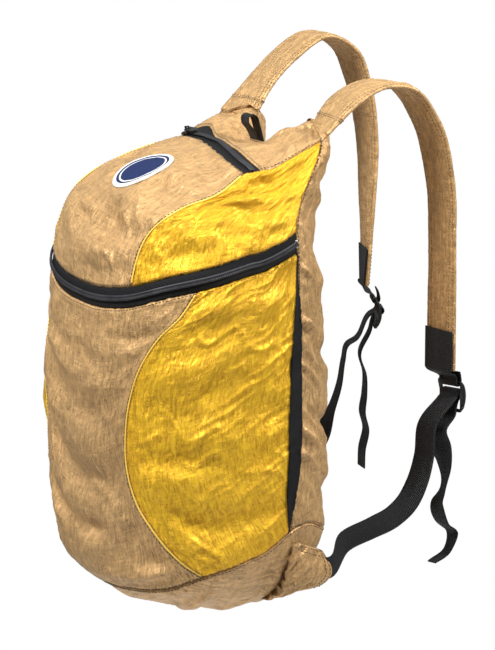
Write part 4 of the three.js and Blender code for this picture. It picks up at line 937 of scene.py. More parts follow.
def inset_line(grid, side, away, closed=False):
    """Line over a grid at a set distance from one border, with the normals there."""
    normals = ring_normals(grid) if closed else grid_normals(grid)
    if side in ("left", "right"):
        grid, normals = grid.swapaxes(0, 1), normals.swapaxes(0, 1)
    if side in ("high", "right"):
        grid, normals = grid[::-1], normals[::-1]
    grid, normals = grid[:12], normals[:12]
    lengths = np.linalg.norm(np.diff(grid, axis=0), axis=-1)
    run = np.concatenate([np.zeros((1, grid.shape[1])), np.cumsum(lengths, 0)])
    i = np.clip((run < away).sum(0) - 1, 0, 10)
    columns = np.arange(grid.shape[1])
    share = ((away - run[i, columns]) / (run[i + 1, columns] - run[i, columns]))[:, None]
    return mixed(grid[i, columns], grid[i + 1, columns], share), unit(normals[i, columns])


# Materials

class Value:
    """A socket that Python's arithmetic works on: each operation adds one Math node."""

    def __init__(self, paint, socket):
        self.paint, self.socket = paint, socket

    def maths(self, operation, *values):
        return self.paint.node("Math", {"operation": operation}, values)

    def __add__(self, other):
        return self.maths("ADD", self, other)

    def __sub__(self, other):
        return self.maths("SUBTRACT", self, other)

    def __rsub__(self, other):
        return self.maths("SUBTRACT", other, self)

    def __mul__(self, other):
        return self.maths("MULTIPLY", self, other)

    def __pow__(self, other):
        return self.maths("POWER", self, other)

    def size(self):
        """The value without its sign."""
        return self.maths("ABSOLUTE", self)

    def sine(self):
        """The sine of the value."""
        return self.maths("SINE", self)

    __radd__, __rmul__ = __add__, __mul__


class Paint:
    """A material under construction."""

    def __init__(self, name, **constants):
        self.material = bpy.data.materials.new(name)
        self.material.use_nodes = True
        self.tree = self.material.node_tree
        self.surface = self.tree.nodes["Principled BSDF"]
        for socket, value in constants.items():
            self.surface.inputs[socket.replace("_", " ")].default_value = value

    def node(self, kind, settings, values, output=0):
        """A shader node with its settings, its inputs filled by position or name, and one of its outputs."""
        node = self.tree.nodes.new("ShaderNode" + kind)
        for setting, value in settings.items():
            setattr(node, setting, value)
        pairs = values.items() if isinstance(values, dict) else enumerate(values)
        for key, value in pairs:
            if isinstance(value, Value):
                self.tree.links.new(value.socket, node.inputs[key])
            elif value is not None:
                node.inputs[key].default_value = value
        return Value(self, node.outputs[output])

    def where(self, cloth):
        """Metres over the cloth, or the object's own coordinates."""
        if cloth:
            return self.node("UVMap", {"uv_map": "cloth"}, ())
        return self.node("TexCoord", {}, (), "Object")

    def noise(self, place, scale, detail=3.0, rough=0.55, warp=0.0):
        """Soft noise from 0 to 1 with a feature size in millimetres."""
        values = {"Vector": place, "Scale": 1000 / scale, "Detail": detail}
        values |= {"Roughness": rough, "Distortion": warp}
        return self.node("TexNoise", {}, values, "Fac")

    def cells(self, place, scale, feature="DISTANCE_TO_EDGE"):
        """Distance to the nearest crease of a cracked pattern with cells of a size in millimetres."""
        values = {"Vector": place, "Scale": 1000 / scale}
        return self.node("TexVoronoi", {"feature": feature}, values, "Distance")

    def stretched(self, place, scale, turn=0.0):
        """A place with its axes scaled, and turned in its plane by some degrees."""
        values = {"Vector": place, "Scale": scale, "Rotation": (0, 0, np.radians(turn))}
        return self.node("Mapping", {}, values)

    def ramp(self, value, low, high):
        """Rises smoothly from 0 at low to 1 at high."""
        values = {"Value": value, "From Min": low, "From Max": high}
        return self.node("MapRange", {"interpolation_type": "SMOOTHSTEP"}, values)

    def blend(self, share, first, second):
        """Colour mixed from first at share 0 to second at share 1."""
        node = self.node("Mix", {"data_type": "RGBA"}, {0: share, 6: first, 7: second}, 2)
        return node

    def feed(self, colour=None, roughness=None, height=None, depth=0.2):
        """Links colour, roughness and a bump of some millimetres to the surface, and returns the material."""
        if colour is not None:
            self.tree.links.new(colour.socket, self.surface.inputs["Base Color"])
        if roughness is not None:
            self.tree.links.new(roughness.socket, self.surface.inputs["Roughness"])
        if height is not None:
            bump = self.node("Bump", {}, {"Strength": 1.0, "Distance": depth * MM, "Height": height})
            self.tree.links.new(bump.socket, self.surface.inputs["Normal"])
        return self.material


def shade(colour, factor):
    """A colour made lighter or darker, with an opaque fourth channel."""
    return tuple(min(1, channel * factor) for channel in colour[:3]) + (1,)


def nylon(name, colour, crinkle):
    """Thin shiny nylon: creased facets of two sizes, thin sharp crinkles that run across each other, fine
    threads, and a tone that follows them: painted light and shade, lighter on the raised facets and
    crinkles and darker on the crease lines, over the cloth's own broad random tone and threads."""
    paint = Paint(name, Metallic=0.33, Specular_IOR_Level=0.3)
    place, flat = paint.where(False), paint.where(True)
    bend = paint.node("TexNoise", {}, {"Vector": flat, "Scale": 1000 / 22, "Detail": 2.0}, "Color")
    offset = paint.node("VectorMath", {"operation": "SCALE"}, {"Vector": bend, "Scale": 8 * MM})
    bent = paint.node("VectorMath", {"operation": "ADD"}, (flat, offset))
    middle = paint.cells(paint.stretched(bent, (0.7, 1.0, 1), -30), 9, "F1")
    small = paint.cells(paint.stretched(bent, (1.0, 0.6, 1), 12), 4.5, "F1")
    steep = paint.noise(paint.stretched(bent, (1.0, 0.2, 1), 9), 3.6, 4, 0.6, 0.5)
    slant = paint.noise(paint.stretched(bent, (1.0, 0.25, 1), -38), 5, 4, 0.6, 0.5)
    level = paint.noise(paint.stretched(bent, (0.25, 1.0, 1), 8), 5.5, 4, 0.6, 0.5)
    lines = [1 - paint.ramp((each - 0.5).size(), 0.0, 0.035) for each in (steep, slant, level)]
    creases = lines[0] + lines[1] + lines[2] * 0.6
    broad = paint.noise(place, 60, 3, 0.5, 0.4)
    warp = paint.noise(paint.stretched(flat, (1.0, 0.03, 1)), 1.3, 2, 0.5)
    weft = paint.noise(paint.stretched(flat, (0.03, 1.0, 1)), 1.3, 2, 0.5)
    # Painted light and shade: the tone rises with the facet and crinkle heights of the bump and drops on the
    # crease lines. The broad noise and the threads are the cloth's own uneven tone.
    tone = broad * 0.3 + middle * 0.1 + steep * 0.3 + slant * 0.15 + warp * 0.5 + weft * 0.35 - creases * 0.16
    colours = paint.blend(paint.ramp(tone, 0.35, 1.15), shade(colour, 0.62), shade(colour, 1.45))
    roughness = broad * 0.1 + steep * 0.1 + 0.33
    height = middle * 0.5 + small * 0.25 - creases * 0.13
    height = height + (steep + slant + level) * 0.32 + (warp + weft) * 0.07
    return paint.feed(colours, roughness, height, crinkle)


def webbing(name, colour):
    """Woven webbing: slanting ribs that meet in the middle, and paler worn patches here and there."""
    paint = Paint(name, Sheen_Weight=0.04, Sheen_Roughness=0.4, Specular_IOR_Level=0.3)
    flat = paint.where(True)
    across, along = (paint.node("SeparateXYZ", {}, (flat,), axis) for axis in (0, 1))
    ribs = (along * (2 * np.pi / (1.7 * MM)) + across.size() * (2 * np.pi / (3.4 * MM))).sine()
    ends = (across * (2 * np.pi / (0.9 * MM))).sine()
    worn = paint.noise(paint.where(False), 14, 3, 0.6)
    # The ribs' crests are painted lighter and their grooves darker: painted light and shade over the random
    # worn tone.
    colours = paint.blend(worn * 0.6 + ribs * 0.2 + 0.1, shade(colour, 0.7), shade(colour, 1.9))
    return paint.feed(colours, worn * 0.2 + 0.5, ribs * 0.5 + ends * 0.2, 0.35)


def tape(name, colour):
    """Fine ribbed zip tape."""
    paint = Paint(name, Specular_IOR_Level=0.25)
    flat = paint.where(True)
    across, along = (paint.node("SeparateXYZ", {}, (flat,), axis) for axis in (0, 1))
    ribs = (across * (2 * np.pi / (1.1 * MM))).sine() + (along * (2 * np.pi / (0.9 * MM))).sine() * 0.5
    worn = paint.noise(paint.where(False), 12, 3, 0.6)
    colours = paint.blend(worn, shade(colour, 0.75), shade(colour, 1.7))
    return paint.feed(colours, worn * 0.15 + 0.6, ribs * 0.5, 0.2)


def moulded(name, colour, gloss):
    """Moulded plastic or enamelled metal with a faint grain and paler rubbed patches here and there."""
    paint = Paint(name, Specular_IOR_Level=0.5)
    place = paint.where(False)
    grain = paint.noise(place, 0.7, 2, 0.5)
    worn = paint.noise(place, 9, 4, 0.6)
    colours = paint.blend(paint.ramp(worn, 0.35, 0.75), shade(colour, 0.8), shade(colour, 1.6))
    return paint.feed(colours, worn * 0.2 + gloss, grain, 0.06)


def thread(name, colour):
    """Twisted sewing thread."""
    paint = Paint(name, Sheen_Weight=0.2)
    place = paint.where(False)
    twist = paint.noise(paint.stretched(place, (1, 1, 3)), 0.6, 2, 0.5)
    colours = paint.blend(paint.noise(place, 20, 2, 0.5), shade(colour, 0.88), shade(colour, 1.1))
    return paint.feed(colours, twist * 0.15 + 0.5, twist, 0.1)


def badge(name, field, rim):
    """Embroidered badge: a field of level stitches, a thin ring and a thick overlocked rim."""
    paint = Paint(name, Specular_IOR_Level=0.3)
    flat = paint.where(True)
    across, along = (paint.node("SeparateXYZ", {}, (flat,), axis) for axis in (0, 1))
    radius = (across * across + along * along) ** 0.5
    size = PATCH_DIAMETER / 2
    outer = paint.ramp(radius, size * 0.86, size * 0.88)
    ring = paint.ramp(radius, size * 0.72, size * 0.735) - paint.ramp(radius, size * 0.775, size * 0.79)
    angle = paint.node("Math", {"operation": "ARCTAN2"}, (along, across))
    rim_ribs = (angle * 150).sine()
    rows = (along * (2 * np.pi / (0.6 * MM)) + (across * (2 * np.pi / (3.1 * MM))).sine() * 0.9).sine()
    tone = paint.noise(paint.where(False), 6, 3, 0.6)
    dark = paint.blend(tone, shade(field, 0.8), shade(field, 1.35))
    pale = paint.blend(tone, shade(rim, 0.85), shade(rim, 1.0))
    colours = paint.blend(outer + ring, dark, pale)
    height = outer * (rim_ribs * 0.35 + 0.5) + (1 - outer) * rows * 0.25 + ring * 0.3
    return paint.feed(colours, tone * 0.15 + 0.55, height, 0.4)


# Settings

def number(name, description, default, kind="NONE"):
    """A number property with its default."""
    return FloatProperty(name=name, description=description, default=default, unit=kind)


class ClothSettings(bpy.types.PropertyGroup):
    """How the nylon crumples between its seams"""

    spare: number("Spare cloth", "Share by which panels are cut large", 0.012)
    stiffness: number("Stiffness", "Stiffness of the cloth in bending", 1.5)
    pressure: number("Filling", "Outward pressure of the filling", 0.25)
    limit: number("Limit", "Furthest that the cloth moves", 6 * MM, "LENGTH")
    evening: IntProperty(name="Evening", description="Rounds of smoothing after the simulation", default=4)
    frames: IntProperty(name="Frames", description="Frames of the cloth simulation", default=20, min=2)
    crumple: number("Crumple", "Height of the creases", 2.3 * MM, "LENGTH")
    sag: number("Sag", "Height of broad level folds", 4.2 * MM, "LENGTH")
    pucker: number("Pucker", "Height of puckers at seams", 1.0 * MM, "LENGTH")
    crinkle: number("Crinkle", "Depth of the fine crinkle in millimetres", 1.7)


class SewingSettings(bpy.types.PropertyGroup):
    """Size of the stitches"""

    length: number("Length", "Length of a stitch", 2.4 * MM, "LENGTH")
    pitch: number("Pitch", "Distance between stitches", 3.3 * MM, "LENGTH")
    thickness: number("Thread", "Diameter of the thread", 0.7 * MM, "LENGTH")
    inset: number("Inset", "Distance from a seam", 2.6 * MM, "LENGTH")


def colour_setting(name, description, colour):
    """A colour property with its default."""
    return FloatVectorProperty(
        name=name, description=description, default=colour, subtype="COLOR", min=0, max=1
    )


class ColourSettings(bpy.types.PropertyGroup):
    """Colours of the finishes"""

    tan: colour_setting("Tan nylon", "Main cloth", (0.53, 0.325, 0.14))
    yellow: colour_setting("Yellow nylon", "Side cloth", (0.93, 0.43, 0.022))
    # The rolled edge is a paler copy of the yellow nylon: a painted highlight along the seams' folds.
    edge: colour_setting("Rolled edge", "Rolled edges of the side cloth", (0.95, 0.62, 0.08))
    black: colour_setting("Webbing", "Webbing and tapes", (0.006, 0.006, 0.007))
    hard: colour_setting("Plastic", "Buckles and zip sliders", (0.006, 0.006, 0.007))
    # The three stitch colours are darker than the cloth they sit on: real thread, with painted shade of the
    # needle holes in its colour.
    seam_thread: colour_setting("Seam thread", "Stitches beside the seams", (0.06, 0.035, 0.015))
    yellow_thread: colour_setting("Yellow thread", "Stitches on the side cloth", (0.45, 0.2, 0.02))
    strap_thread: colour_setting("Strap thread", "Stitches on the straps and the tabs", (0.12, 0.07, 0.03))
    field: colour_setting("Badge field", "Middle of the round badge", (0.008, 0.02, 0.085))
    rim: colour_setting("Badge rim", "Rim of the round badge", (0.82, 0.82, 0.8))


class StageSettings(bpy.types.PropertyGroup):
    """Camera and light"""

    turn: number("Turn", "Camera turn from the front in degrees", 62)
    tilt: number("Tilt", "Camera height angle in degrees", 12)
    distance: number("Distance", "Camera distance", 2.2, "LENGTH")
    lens: number("Lens", "Focal length in millimetres", 138.9)
    key: number("Key light", "Power of the main light in watts", 50)
    fill: number("Surround", "Strength of the light from all round", 0.5)


SETTINGS = {
    "bag_cloth": ClothSettings,
    "bag_sewing": SewingSettings,
    "bag_colours": ColourSettings,
    "bag_stage": StageSettings,
}
PAINTS = {}


def finish_of(slot):
    """The material of a record's slot, made when it is first asked for."""
    colours = bpy.context.scene.bag_colours
    makers = {
        "tan_nylon": lambda name: nylon(name, colours.tan, bpy.context.scene.bag_cloth.crinkle),
        "yellow_nylon": lambda name: nylon(name, colours.yellow, bpy.context.scene.bag_cloth.crinkle),
        "rolled_edge": lambda name: thread(name, colours.edge),
        "black_webbing": lambda name: webbing(name, colours.black),
        "zip_tape": lambda name: tape(name, colours.black),
        "zip_coil": lambda name: moulded(name, shade(colours.black, 3.5), 0.3),
        "black_plastic": lambda name: moulded(name, colours.hard, 0.3),
        "navy_patch": lambda name: badge(name, colours.field, colours.rim),
        "seam_thread": lambda name: thread(name, colours.seam_thread),
        "yellow_thread": lambda name: thread(name, colours.yellow_thread),
        "strap_thread": lambda name: thread(name, colours.strap_thread),
        "white_thread": lambda name: thread(name, colours.rim),
    }
    if slot not in PAINTS:
        PAINTS[slot] = makers[slot](slot)
    return PAINTS[slot]


# Stage

class AddStage(bpy.types.Operator):
    """Camera, floor and soft studio light"""

    bl_idname = "backpack.add_stage"
    bl_label = "Stage"

    def execute(self, context):
        stage = context.scene.bag_stage
        turn, tilt = np.radians(stage.turn), np.radians(stage.tilt)
        right = np.array([np.cos(turn), np.sin(turn), 0])
        up = np.array([-np.sin(turn) * np.sin(tilt), np.cos(turn) * np.sin(tilt), np.cos(tilt)])
        back = np.cross(right, up)
        target = np.array([0, 60, 215]) * MM + up * 9.65 * MM - ORIGIN
        camera = bpy.data.objects.new("camera", bpy.data.cameras.new("camera"))
        context.scene.collection.objects.link(camera)
        camera.data.sensor_fit = "VERTICAL"
        camera.data.sensor_height = 36
        camera.data.lens = stage.lens
        camera.data.clip_end = 50
        axes = np.eye(4)
        axes[:3] = np.stack([right, up, back, target + back * stage.distance], -1)
        camera.matrix_world = Matrix(axes.tolist())
        context.scene.camera = camera
        lights = (
            ("key", -0.85 * right + 1.3 * up + 1.1 * back, 0.5, stage.key),
            ("side", 1.3 * right + 0.9 * up + 0.6 * back, 0.4, 0.55 * stage.key),
        )
        for name, way, size, power in lights:
            lamp = bpy.data.lights.new(name, "AREA")
            lamp.size = size
            lamp.energy = power
            piece = bpy.data.objects.new(name, lamp)
            context.scene.collection.objects.link(piece)
            piece.location = target + way
            piece.rotation_euler = Vector(way).to_track_quat("Z", "Y").to_euler()
        world = bpy.data.worlds.new("surround")
        context.scene.world = world
        world.use_nodes = True
        tree = world.node_tree
        soft = tree.nodes["Background"]
        soft.inputs[0].default_value = (1, 1, 1, 1)
        place = tree.nodes.new("ShaderNodeTexCoord")
        height = tree.nodes.new("ShaderNodeSeparateXYZ")
        rise = tree.nodes.new("ShaderNodeMapRange")
        sockets = ("From Min", "From Max", "To Min", "To Max")
        for socket, value in zip(sockets, (-1, 1, 0.05 * stage.fill, stage.fill)):
            rise.inputs[socket].default_value = value
        tree.links.new(place.outputs["Generated"], height.inputs[0])
        tree.links.new(height.outputs["Z"], rise.inputs["Value"])
        tree.links.new(rise.outputs[0], soft.inputs[1])
        seen = tree.nodes.new("ShaderNodeBackground")
        seen.inputs[0].default_value = (1, 1, 1, 1)
        both = tree.nodes.new("ShaderNodeMixShader")
        tree.links.new(tree.nodes.new("ShaderNodeLightPath").outputs["Is Camera Ray"], both.inputs[0])
        tree.links.new(soft.outputs[0], both.inputs[1])
        tree.links.new(seen.outputs[0], both.inputs[2])
        tree.links.new(both.outputs[0], tree.nodes["World Output"].inputs[0])
        context.scene.view_settings.view_transform = "Standard"
        span = np.linspace(-1.2, 1.2, 13)
        x, y = np.meshgrid(span, span)
        drop = -1.3 + ORIGIN[2]
        ground = np.stack([x, y + ORIGIN[1], 0 * x + drop], -1)
        paint = Paint("floor")
        cloud = paint.noise(paint.where(False), 900, 2, 0.5)
        pale = paint.blend(cloud, (0.93, 0.93, 0.93, 1), (0.96, 0.96, 0.96, 1))
        faces = grid_faces(13, 13).tolist()
        floor = add_mesh("floor", ground.reshape(-1, 3), faces, paint.feed(pale, cloud * 0.1 + 0.7))
        return {"FINISHED"}


# Pieces

class AddPanels(bpy.types.Operator):
    """Nine panels of nylon, crumpled by a cloth simulation and finished with creases and seam relief"""

    bl_idname = "backpack.add_panels"
    bl_label = "Panels"

    def execute(self, context):
        cloth = context.scene.bag_cloth
        places = panel_places()
        plain = {name: cloth_at(place[..., 0], place[..., 1]) for name, place in places.items()}
        settled = settle(plain, cloth)
        for name, (node, slot) in PANELS.items():
            closed = name == "base"
            grid, over = panel_surface(name, places[name], settled[name], cloth)
            SURFACES[name] = grid
            normals = ring_normals(grid) if closed else grid_normals(grid)
            merge = 0.02 * MM * closed
            add_sheet(f"{name}_cloth", grid, normals, CLOTH, over, slot, slot, [node], closed, merge)
        return {"FINISHED"}


def zip_places(lower, upper, rows):
    """Grid of places across a zip from its lower to its upper edge."""
    share = np.linspace(0, 1, rows)[:, None, None]
    return mixed(lower[None], upper[None], share)


class AddZips(bpy.types.Operator):
    """Two zips: a sunk tape, a ridged coil along its middle, and their sliders"""

    bl_idname = "backpack.add_zips"
    bl_label = "Zips"

    def execute(self, context):
        turns = np.linspace(-ZIP_END, ZIP_END, 321)
        shares = np.linspace(0, 1, 121)
        zips = {
            "main_zip": (zip_foot(turns), zip_top(turns)),
            "top_zip": (top_zip_edge(shares, -1), top_zip_edge(shares, 1)),
        }
        for name, (lower, upper) in zips.items():
            places = zip_places(lower, upper, 11)
            grid = cloth_at(places[..., 0], places[..., 1])
            normals = grid_normals(grid)
            low, high = border_distances(grid)[2:]
            edge = np.minimum(low, high)
            sunk = -0.5 * MM - 0.7 * MM * np.exp(-((edge / (1.5 * MM)) ** 2))
            sunk = sunk + 0.12 * MM * wave(low * 3, 9 * MM, 4)
            grid = grid + normals * sunk[..., None]
            left = border_distances(grid)[0]
            over = np.stack([(low - high) / 2, left], -1)
            nodes = [name + "_tape"]
            add_sheet(f"{name}_band", grid, normals, TAPE_THICKNESS, over, "zip_tape", "black_webbing", nodes)
            SURFACES[name] = grid
            middle = cloth_at(places[5, 1:-1, 0], places[5, 1:-1, 1])
            out = cloth_normal(places[5, 1:-1, 0], places[5, 1:-1, 1])
            raised = middle + out * (COIL_GAP + COIL_HEIGHT / 2)
            side = np.cross(out, np.gradient(raised, axis=0))
            line = frames_along(raised, unit(side), np.full(len(raised), COIL_WIDTH), COIL_PITCH / 4)

            def ridges(across, along, width, face):
                hollow = -0.35 * MM * np.exp(-((across / (0.5 * MM)) ** 2))
                return 0.22 * MM * np.sin(2 * np.pi * along / COIL_PITCH) + hollow

            points, faces, uvs = band(line, COIL_HEIGHT * 1.3, 8, ridges)
            slot, nodes = "zip_coil", [name + "_teeth"]
            add_piece(f"{name}_coil", points, faces, finish_of(slot), slot, nodes, uvs)
        for node, body in (("top_zip_slider", "bag"), ("main_zip_slider", "bag"), ("top_zip_pull", "pull")):
            rounded_copy(node, 0.35 * MM, body)
        return {"FINISHED"}


def rounded_copy(node, radius, body="bag"):
    """A hard node's mesh, merged and with its edges rounded by a radius."""
    mesh = bpy.data.meshes.new(node + "_rounded")
    work = bmesh.new()
    work.from_mesh(bpy.data.objects[node].data)
    bmesh.ops.remove_doubles(work, verts=work.verts, dist=0.001 * MM)
    bmesh.ops.dissolve_limit(work, angle_limit=np.radians(3), verts=work.verts, edges=work.edges)
    work.to_mesh(mesh)
    work.free()
    mesh.materials.clear()
    mesh.materials.append(finish_of("black_plastic"))
    mesh.shade_smooth()
    piece = bpy.data.objects.new(node + "_rounded", mesh)
    bpy.context.scene.collection.objects.link(piece)
    bevel = piece.modifiers.new("round", "BEVEL")
    bevel.width = radius
    bevel.segments = 3
    bevel.limit_method = "ANGLE"
    bevel.angle_limit = np.radians(30)
    bevel.harden_normals = True
    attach(piece, body)
    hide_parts(node)
    return piece


class AddPiping(bpy.types.Operator):
    """Thin rolled edges of the side cloth along the seams that part it from the main cloth"""

    bl_idname = "backpack.add_piping"
    bl_label = "Rolled edges"

    def execute(self, context):
        for side, sign in (("right", 1), ("left", -1)):
            seams = side_seams(sign)
            rolls = []
            for seam in (seams["lower_arc"], seams["upper_arc"]):
                points = cloth_at(seam[1:-1, 0], seam[1:-1, 1])
                out = cloth_normal(seam[1:-1, 0], seam[1:-1, 1])
                across = unit(np.cross(out, np.gradient(points, axis=0)))
                line = frames_along(points + 0.2 * MM * out, across, np.full(len(points), 1.7 * MM), 1.5 * MM)
                rolls.append(band(line, 1.2 * MM, 4)[:2])
            # The paler rolled edge colour is a painted highlight along the folds of the seams.
            add_piece(f"rolled_edge_{side}", *joined(rolls), finish_of("rolled_edge"), "yellow_nylon")
        return {"FINISHED"}


class AddBadge(bpy.types.Operator):
    """Round embroidered badge on the lid, and the bare tape over the side seam"""

    bl_idname = "backpack.add_badge"
    bl_label = "Badge and side tape"

    def execute(self, context):
        centre = PATCH_PLACE * [HALF_WIDTH, HALF_DEPTH]
        middle = overhead(centre[:1], centre[1:])[0]
        normal = cloth_normal(middle[0], middle[1])
        across = unit(np.array([1, 0, 0]) - normal * normal[0])
        upwards = np.cross(normal, across)
        radius = np.concatenate([[0.01], np.linspace(0.06, 0.97, 26), [0.995, 1.0]]) * PATCH_DIAMETER / 2
        angle = -np.linspace(0, 2 * np.pi, 145)
        a = radius[:, None] * np.cos(angle)
        b = radius[:, None] * np.sin(angle)
        plan = centre + a[..., None] * across[:2] + b[..., None] * upwards[:2]
        places = overhead(plan[..., 0], plan[..., 1])
        share = radius[:, None] / (PATCH_DIAMETER / 2)
        rim = step(share, 0.84, 0.88) * 0.5 * MM * (1 + 0 * angle)
        drop = PATCH_THICKNESS * 0.7 * step(share, 0.965, 1.0)
        height = GAP + PATCH_THICKNESS + rim - drop + 0.15 * MM * wave(a + 0.4 * b, 14 * MM, 3)
        normals = cloth_normal(places[..., 0], places[..., 1])
        grid = cloth_at(places[..., 0], places[..., 1]) + normals * height[..., None]
        grid[:, -1] = grid[:, 0]
        grid[0] = grid[0].mean(0)
        slot, over = "navy_patch", np.stack([a, b], -1)
        add_sheet("badge", grid, normals, PATCH_THICKNESS, over, slot, slot, ["round_patch"], True, 0.01 * MM)
        side = SURFACES["side_right"]
        back = SURFACES["back"][: len(side)]
        share = np.linspace(0, 1, len(side))
        wide = SIDE_TAPE_WIDTH * smooth(TAPE_WIDTHS[:, 0], TAPE_WIDTHS[:, 1], share)
        lines = [inset_line(side, "right", wide * away)[0] for away in (0.95, 0.7, 0.45)]
        lines += [mixed(lines[2], inset_line(back, "left", wide * 0.3)[0], 0.6)]
        lines += [inset_line(back, "left", wide * away)[0] for away in (0.3, 0.42, 0.55)]
        grid = np.stack(lines, 1)
        normals = grid_normals(grid)
        grid = grid + normals * (GAP + TAPE_THICKNESS)
        left, right, low, _ = border_distances(grid)
        over = np.stack([(left - right) / 2, low], -1)
        nodes = ["side_tape"]
        add_sheet("seam_tape", grid, normals, TAPE_THICKNESS, over, "zip_tape", "black_webbing", nodes)
        return {"FINISHED"}


# Harness

def tab_point(sign, s, along):
    """Point and outward normal of a corner tab: over the cloth at its inner edge, off it at its free one."""
    inner, outer, off = (smooth(CORNER_TAB[:, 0], CORNER_TAB[:, k], along) for k in (1, 2, 3))
    place = place_at_up(sign * mixed(TAB_TURNS[0], TAB_TURNS[1], s), mixed(inner, outer, s))
    normal = cloth_normal(place[..., 0], place[..., 1])
    level = unit(normal * [1, 1, 0])
    return cloth_at(place[..., 0], place[..., 1]) + level * (off * HALF_DEPTH * s * s)[..., None], level


class AddTabs(bpy.types.Operator):
    """Two folded corner tabs that carry the lower webbing"""

    bl_idname = "backpack.add_tabs"
    bl_label = "Corner tabs"

    def execute(self, context):
        for side, sign in (("right", 1), ("left", -1)):
            share = np.linspace(0, 1, 41) if sign > 0 else np.linspace(1, 0, 41)
            s, along = np.meshgrid(share, np.linspace(1, 0, 45))
            grid, _ = tab_point(sign, s, along)
            normals = grid_normals(grid)
            left, right, low, high = border_distances(grid)
            edge = np.minimum(low, high)
            inner = left if sign > 0 else right
            folds = 1.2 * MM * wave(low + 0.35 * inner, 17 * MM, 31) * np.sin(np.pi * s) ** 0.7
            bunches = np.abs(wave(low - 0.5 * inner, 23 * MM, 33)) ** 0.7 - 0.5 + 0.4 * wave(low, 11 * MM, 36)
            gather = 6.5 * MM * bunches * np.exp(-s / 0.35) - 2.2 * MM * np.exp(-s / 0.07)
            folds = folds + gather + 0.9 * MM * crumple(np.stack([low, left], -1), 9 * MM, 35) * (1 - 0.6 * s)
            hem = 0.5 * MM * (step(1 - s, 0.0, 0.04) - step(1 - s, 0.2, 0.27))
            height = GAP + TAB_THICKNESS + folds + hem - 0.8 * MM * np.exp(-((edge / (1.2 * MM)) ** 2))
            grid = grid + normals * height[..., None]
            over = np.stack([(left - right) / 2, (low - high) / 2], -1)
            node, slot = f"corner_tab_{side}", "tan_nylon"
            add_sheet(f"{node}_cloth", grid, normals, TAB_THICKNESS, over, slot, slot, [node])
            SURFACES[node] = grid
        return {"FINISHED"}


def strap_line(side, sign):
    """Middle line of a shoulder strap from the ridge to its tip."""
    outer, bulge, inner = (
        cloth_at(np.array(sign * turn), reach_at(station)) for turn, station in RIDGE[:3]
    )
    middle = (outer + inner) / 2
    route = to_place(STRAP_ROUTES[side])
    way = unit(route[0] - middle)
    root = middle + way * ((bulge - middle) @ way - 7 * MM)
    turns = np.array([row[3] for row in STRAP_ROUTES[side]], float)
    sides = np.concatenate([[unit(sign * (outer - inner))], to_side(turns, 0)])
    share = np.clip((np.arange(len(route)) - 3) / (len(route) - 4), 0, 1)
    widths = np.concatenate([[STRAP_WIDTH], mixed(STRAP_WIDTH, STRAP_TIP_WIDTH, share)])
    return frames_along(np.concatenate([[root], route]), sides, widths, 1.6 * MM)


def strap_relief(seed, full):
    """Height of a strap's faces: a crown, folded edges, the dents of two stitch rows, and creases, all
    flattened towards the sleeve at its full length."""
    def relief(across, along, width, face):
        edge = width / 2 - np.abs(across)
        crown = STRAP_CROWN * (1 - (2 * across / width) ** 2)
        dents = sum(0.9 * MM * np.exp(-(((edge - at) / (0.8 * MM)) ** 2)) for at in (3 * MM, 7.5 * MM))
        flat = np.stack(np.broadcast_arrays(across * 1.5 + 0.3 * along, along * 0.7 + 0 * across), -1)
        side = (face > 0) * 1.0
        creases = mixed(crumple(flat, 15 * MM, seed), crumple(flat + 0.2, 15 * MM, seed + 5), side)
        fine = crumple(flat, 7 * MM, seed + 11)
        puckers = wave(along, 7 * MM, seed + 2) * np.exp(-np.abs(edge - 5.5 * MM) / (5 * MM))
        inside = step(edge, 6 * MM, 11 * MM)
        height = crown - dents + (1.5 * MM * creases + 0.9 * MM * fine) * mixed(0.35, 1, inside)
        height = height + 0.3 * MM * puckers
        return height * step(full - along, SLEEVE_LENGTH - 4 * MM, SLEEVE_LENGTH + 12 * MM)
    return relief


def band_face(line, thick, across, face, relief):
    """Points and normals of a line along one face of a band, at a distance from its middle."""
    share = np.abs(2 * across / line["width"])
    swell = (1 - np.minimum(share, 1) ** 14) ** 0.5
    width = line["width"][:, None]
    rise = relief(across[:, None], line["length"][:, None], width, np.array([[face]]))[:, 0]
    height = face * swell * (thick / 2 + rise)
    point = line["point"] + line["side"] * across[:, None] + line["up"] * height[:, None]
    return point, line["up"] * face




class AddStraps(bpy.types.Operator):
    """Two padded shoulder straps with stitched edges, and the webbing sleeves on their tips"""

    bl_idname = "backpack.add_straps"
    bl_label = "Shoulder straps"

    def execute(self, context):
        sewing = context.scene.bag_sewing
        for side, sign in (("right", 1), ("left", -1)):
            node = f"shoulder_strap_{side}"
            line = strap_line(side, sign)
            relief = strap_relief(41 + sign, line["length"][-1])
            points, faces, uvs = band(line, STRAP_THICKNESS, 34, relief)
            piece = add_piece(f"{node}_pad", points, faces, finish_of("tan_nylon"), "tan_nylon", [node], uvs)
            rows = []
            for inset in (3 * MM, 7.5 * MM):
                for edge in (-1, 1):
                    for face in (-1, 1):
                        across = edge * (line["width"] / 2 - inset)
                        point, normal = band_face(line, STRAP_THICKNESS, across, face, relief)
                        rows.append(stitches(point[3:], normal[3:], sewing))
            points, faces = joined(rows)
            add_piece(f"{node}_stitches", points, faces, finish_of("strap_thread"), "tan_nylon")
            add_root(side, sign, line, relief)
            add_sleeve(side, line)
        return {"FINISHED"}


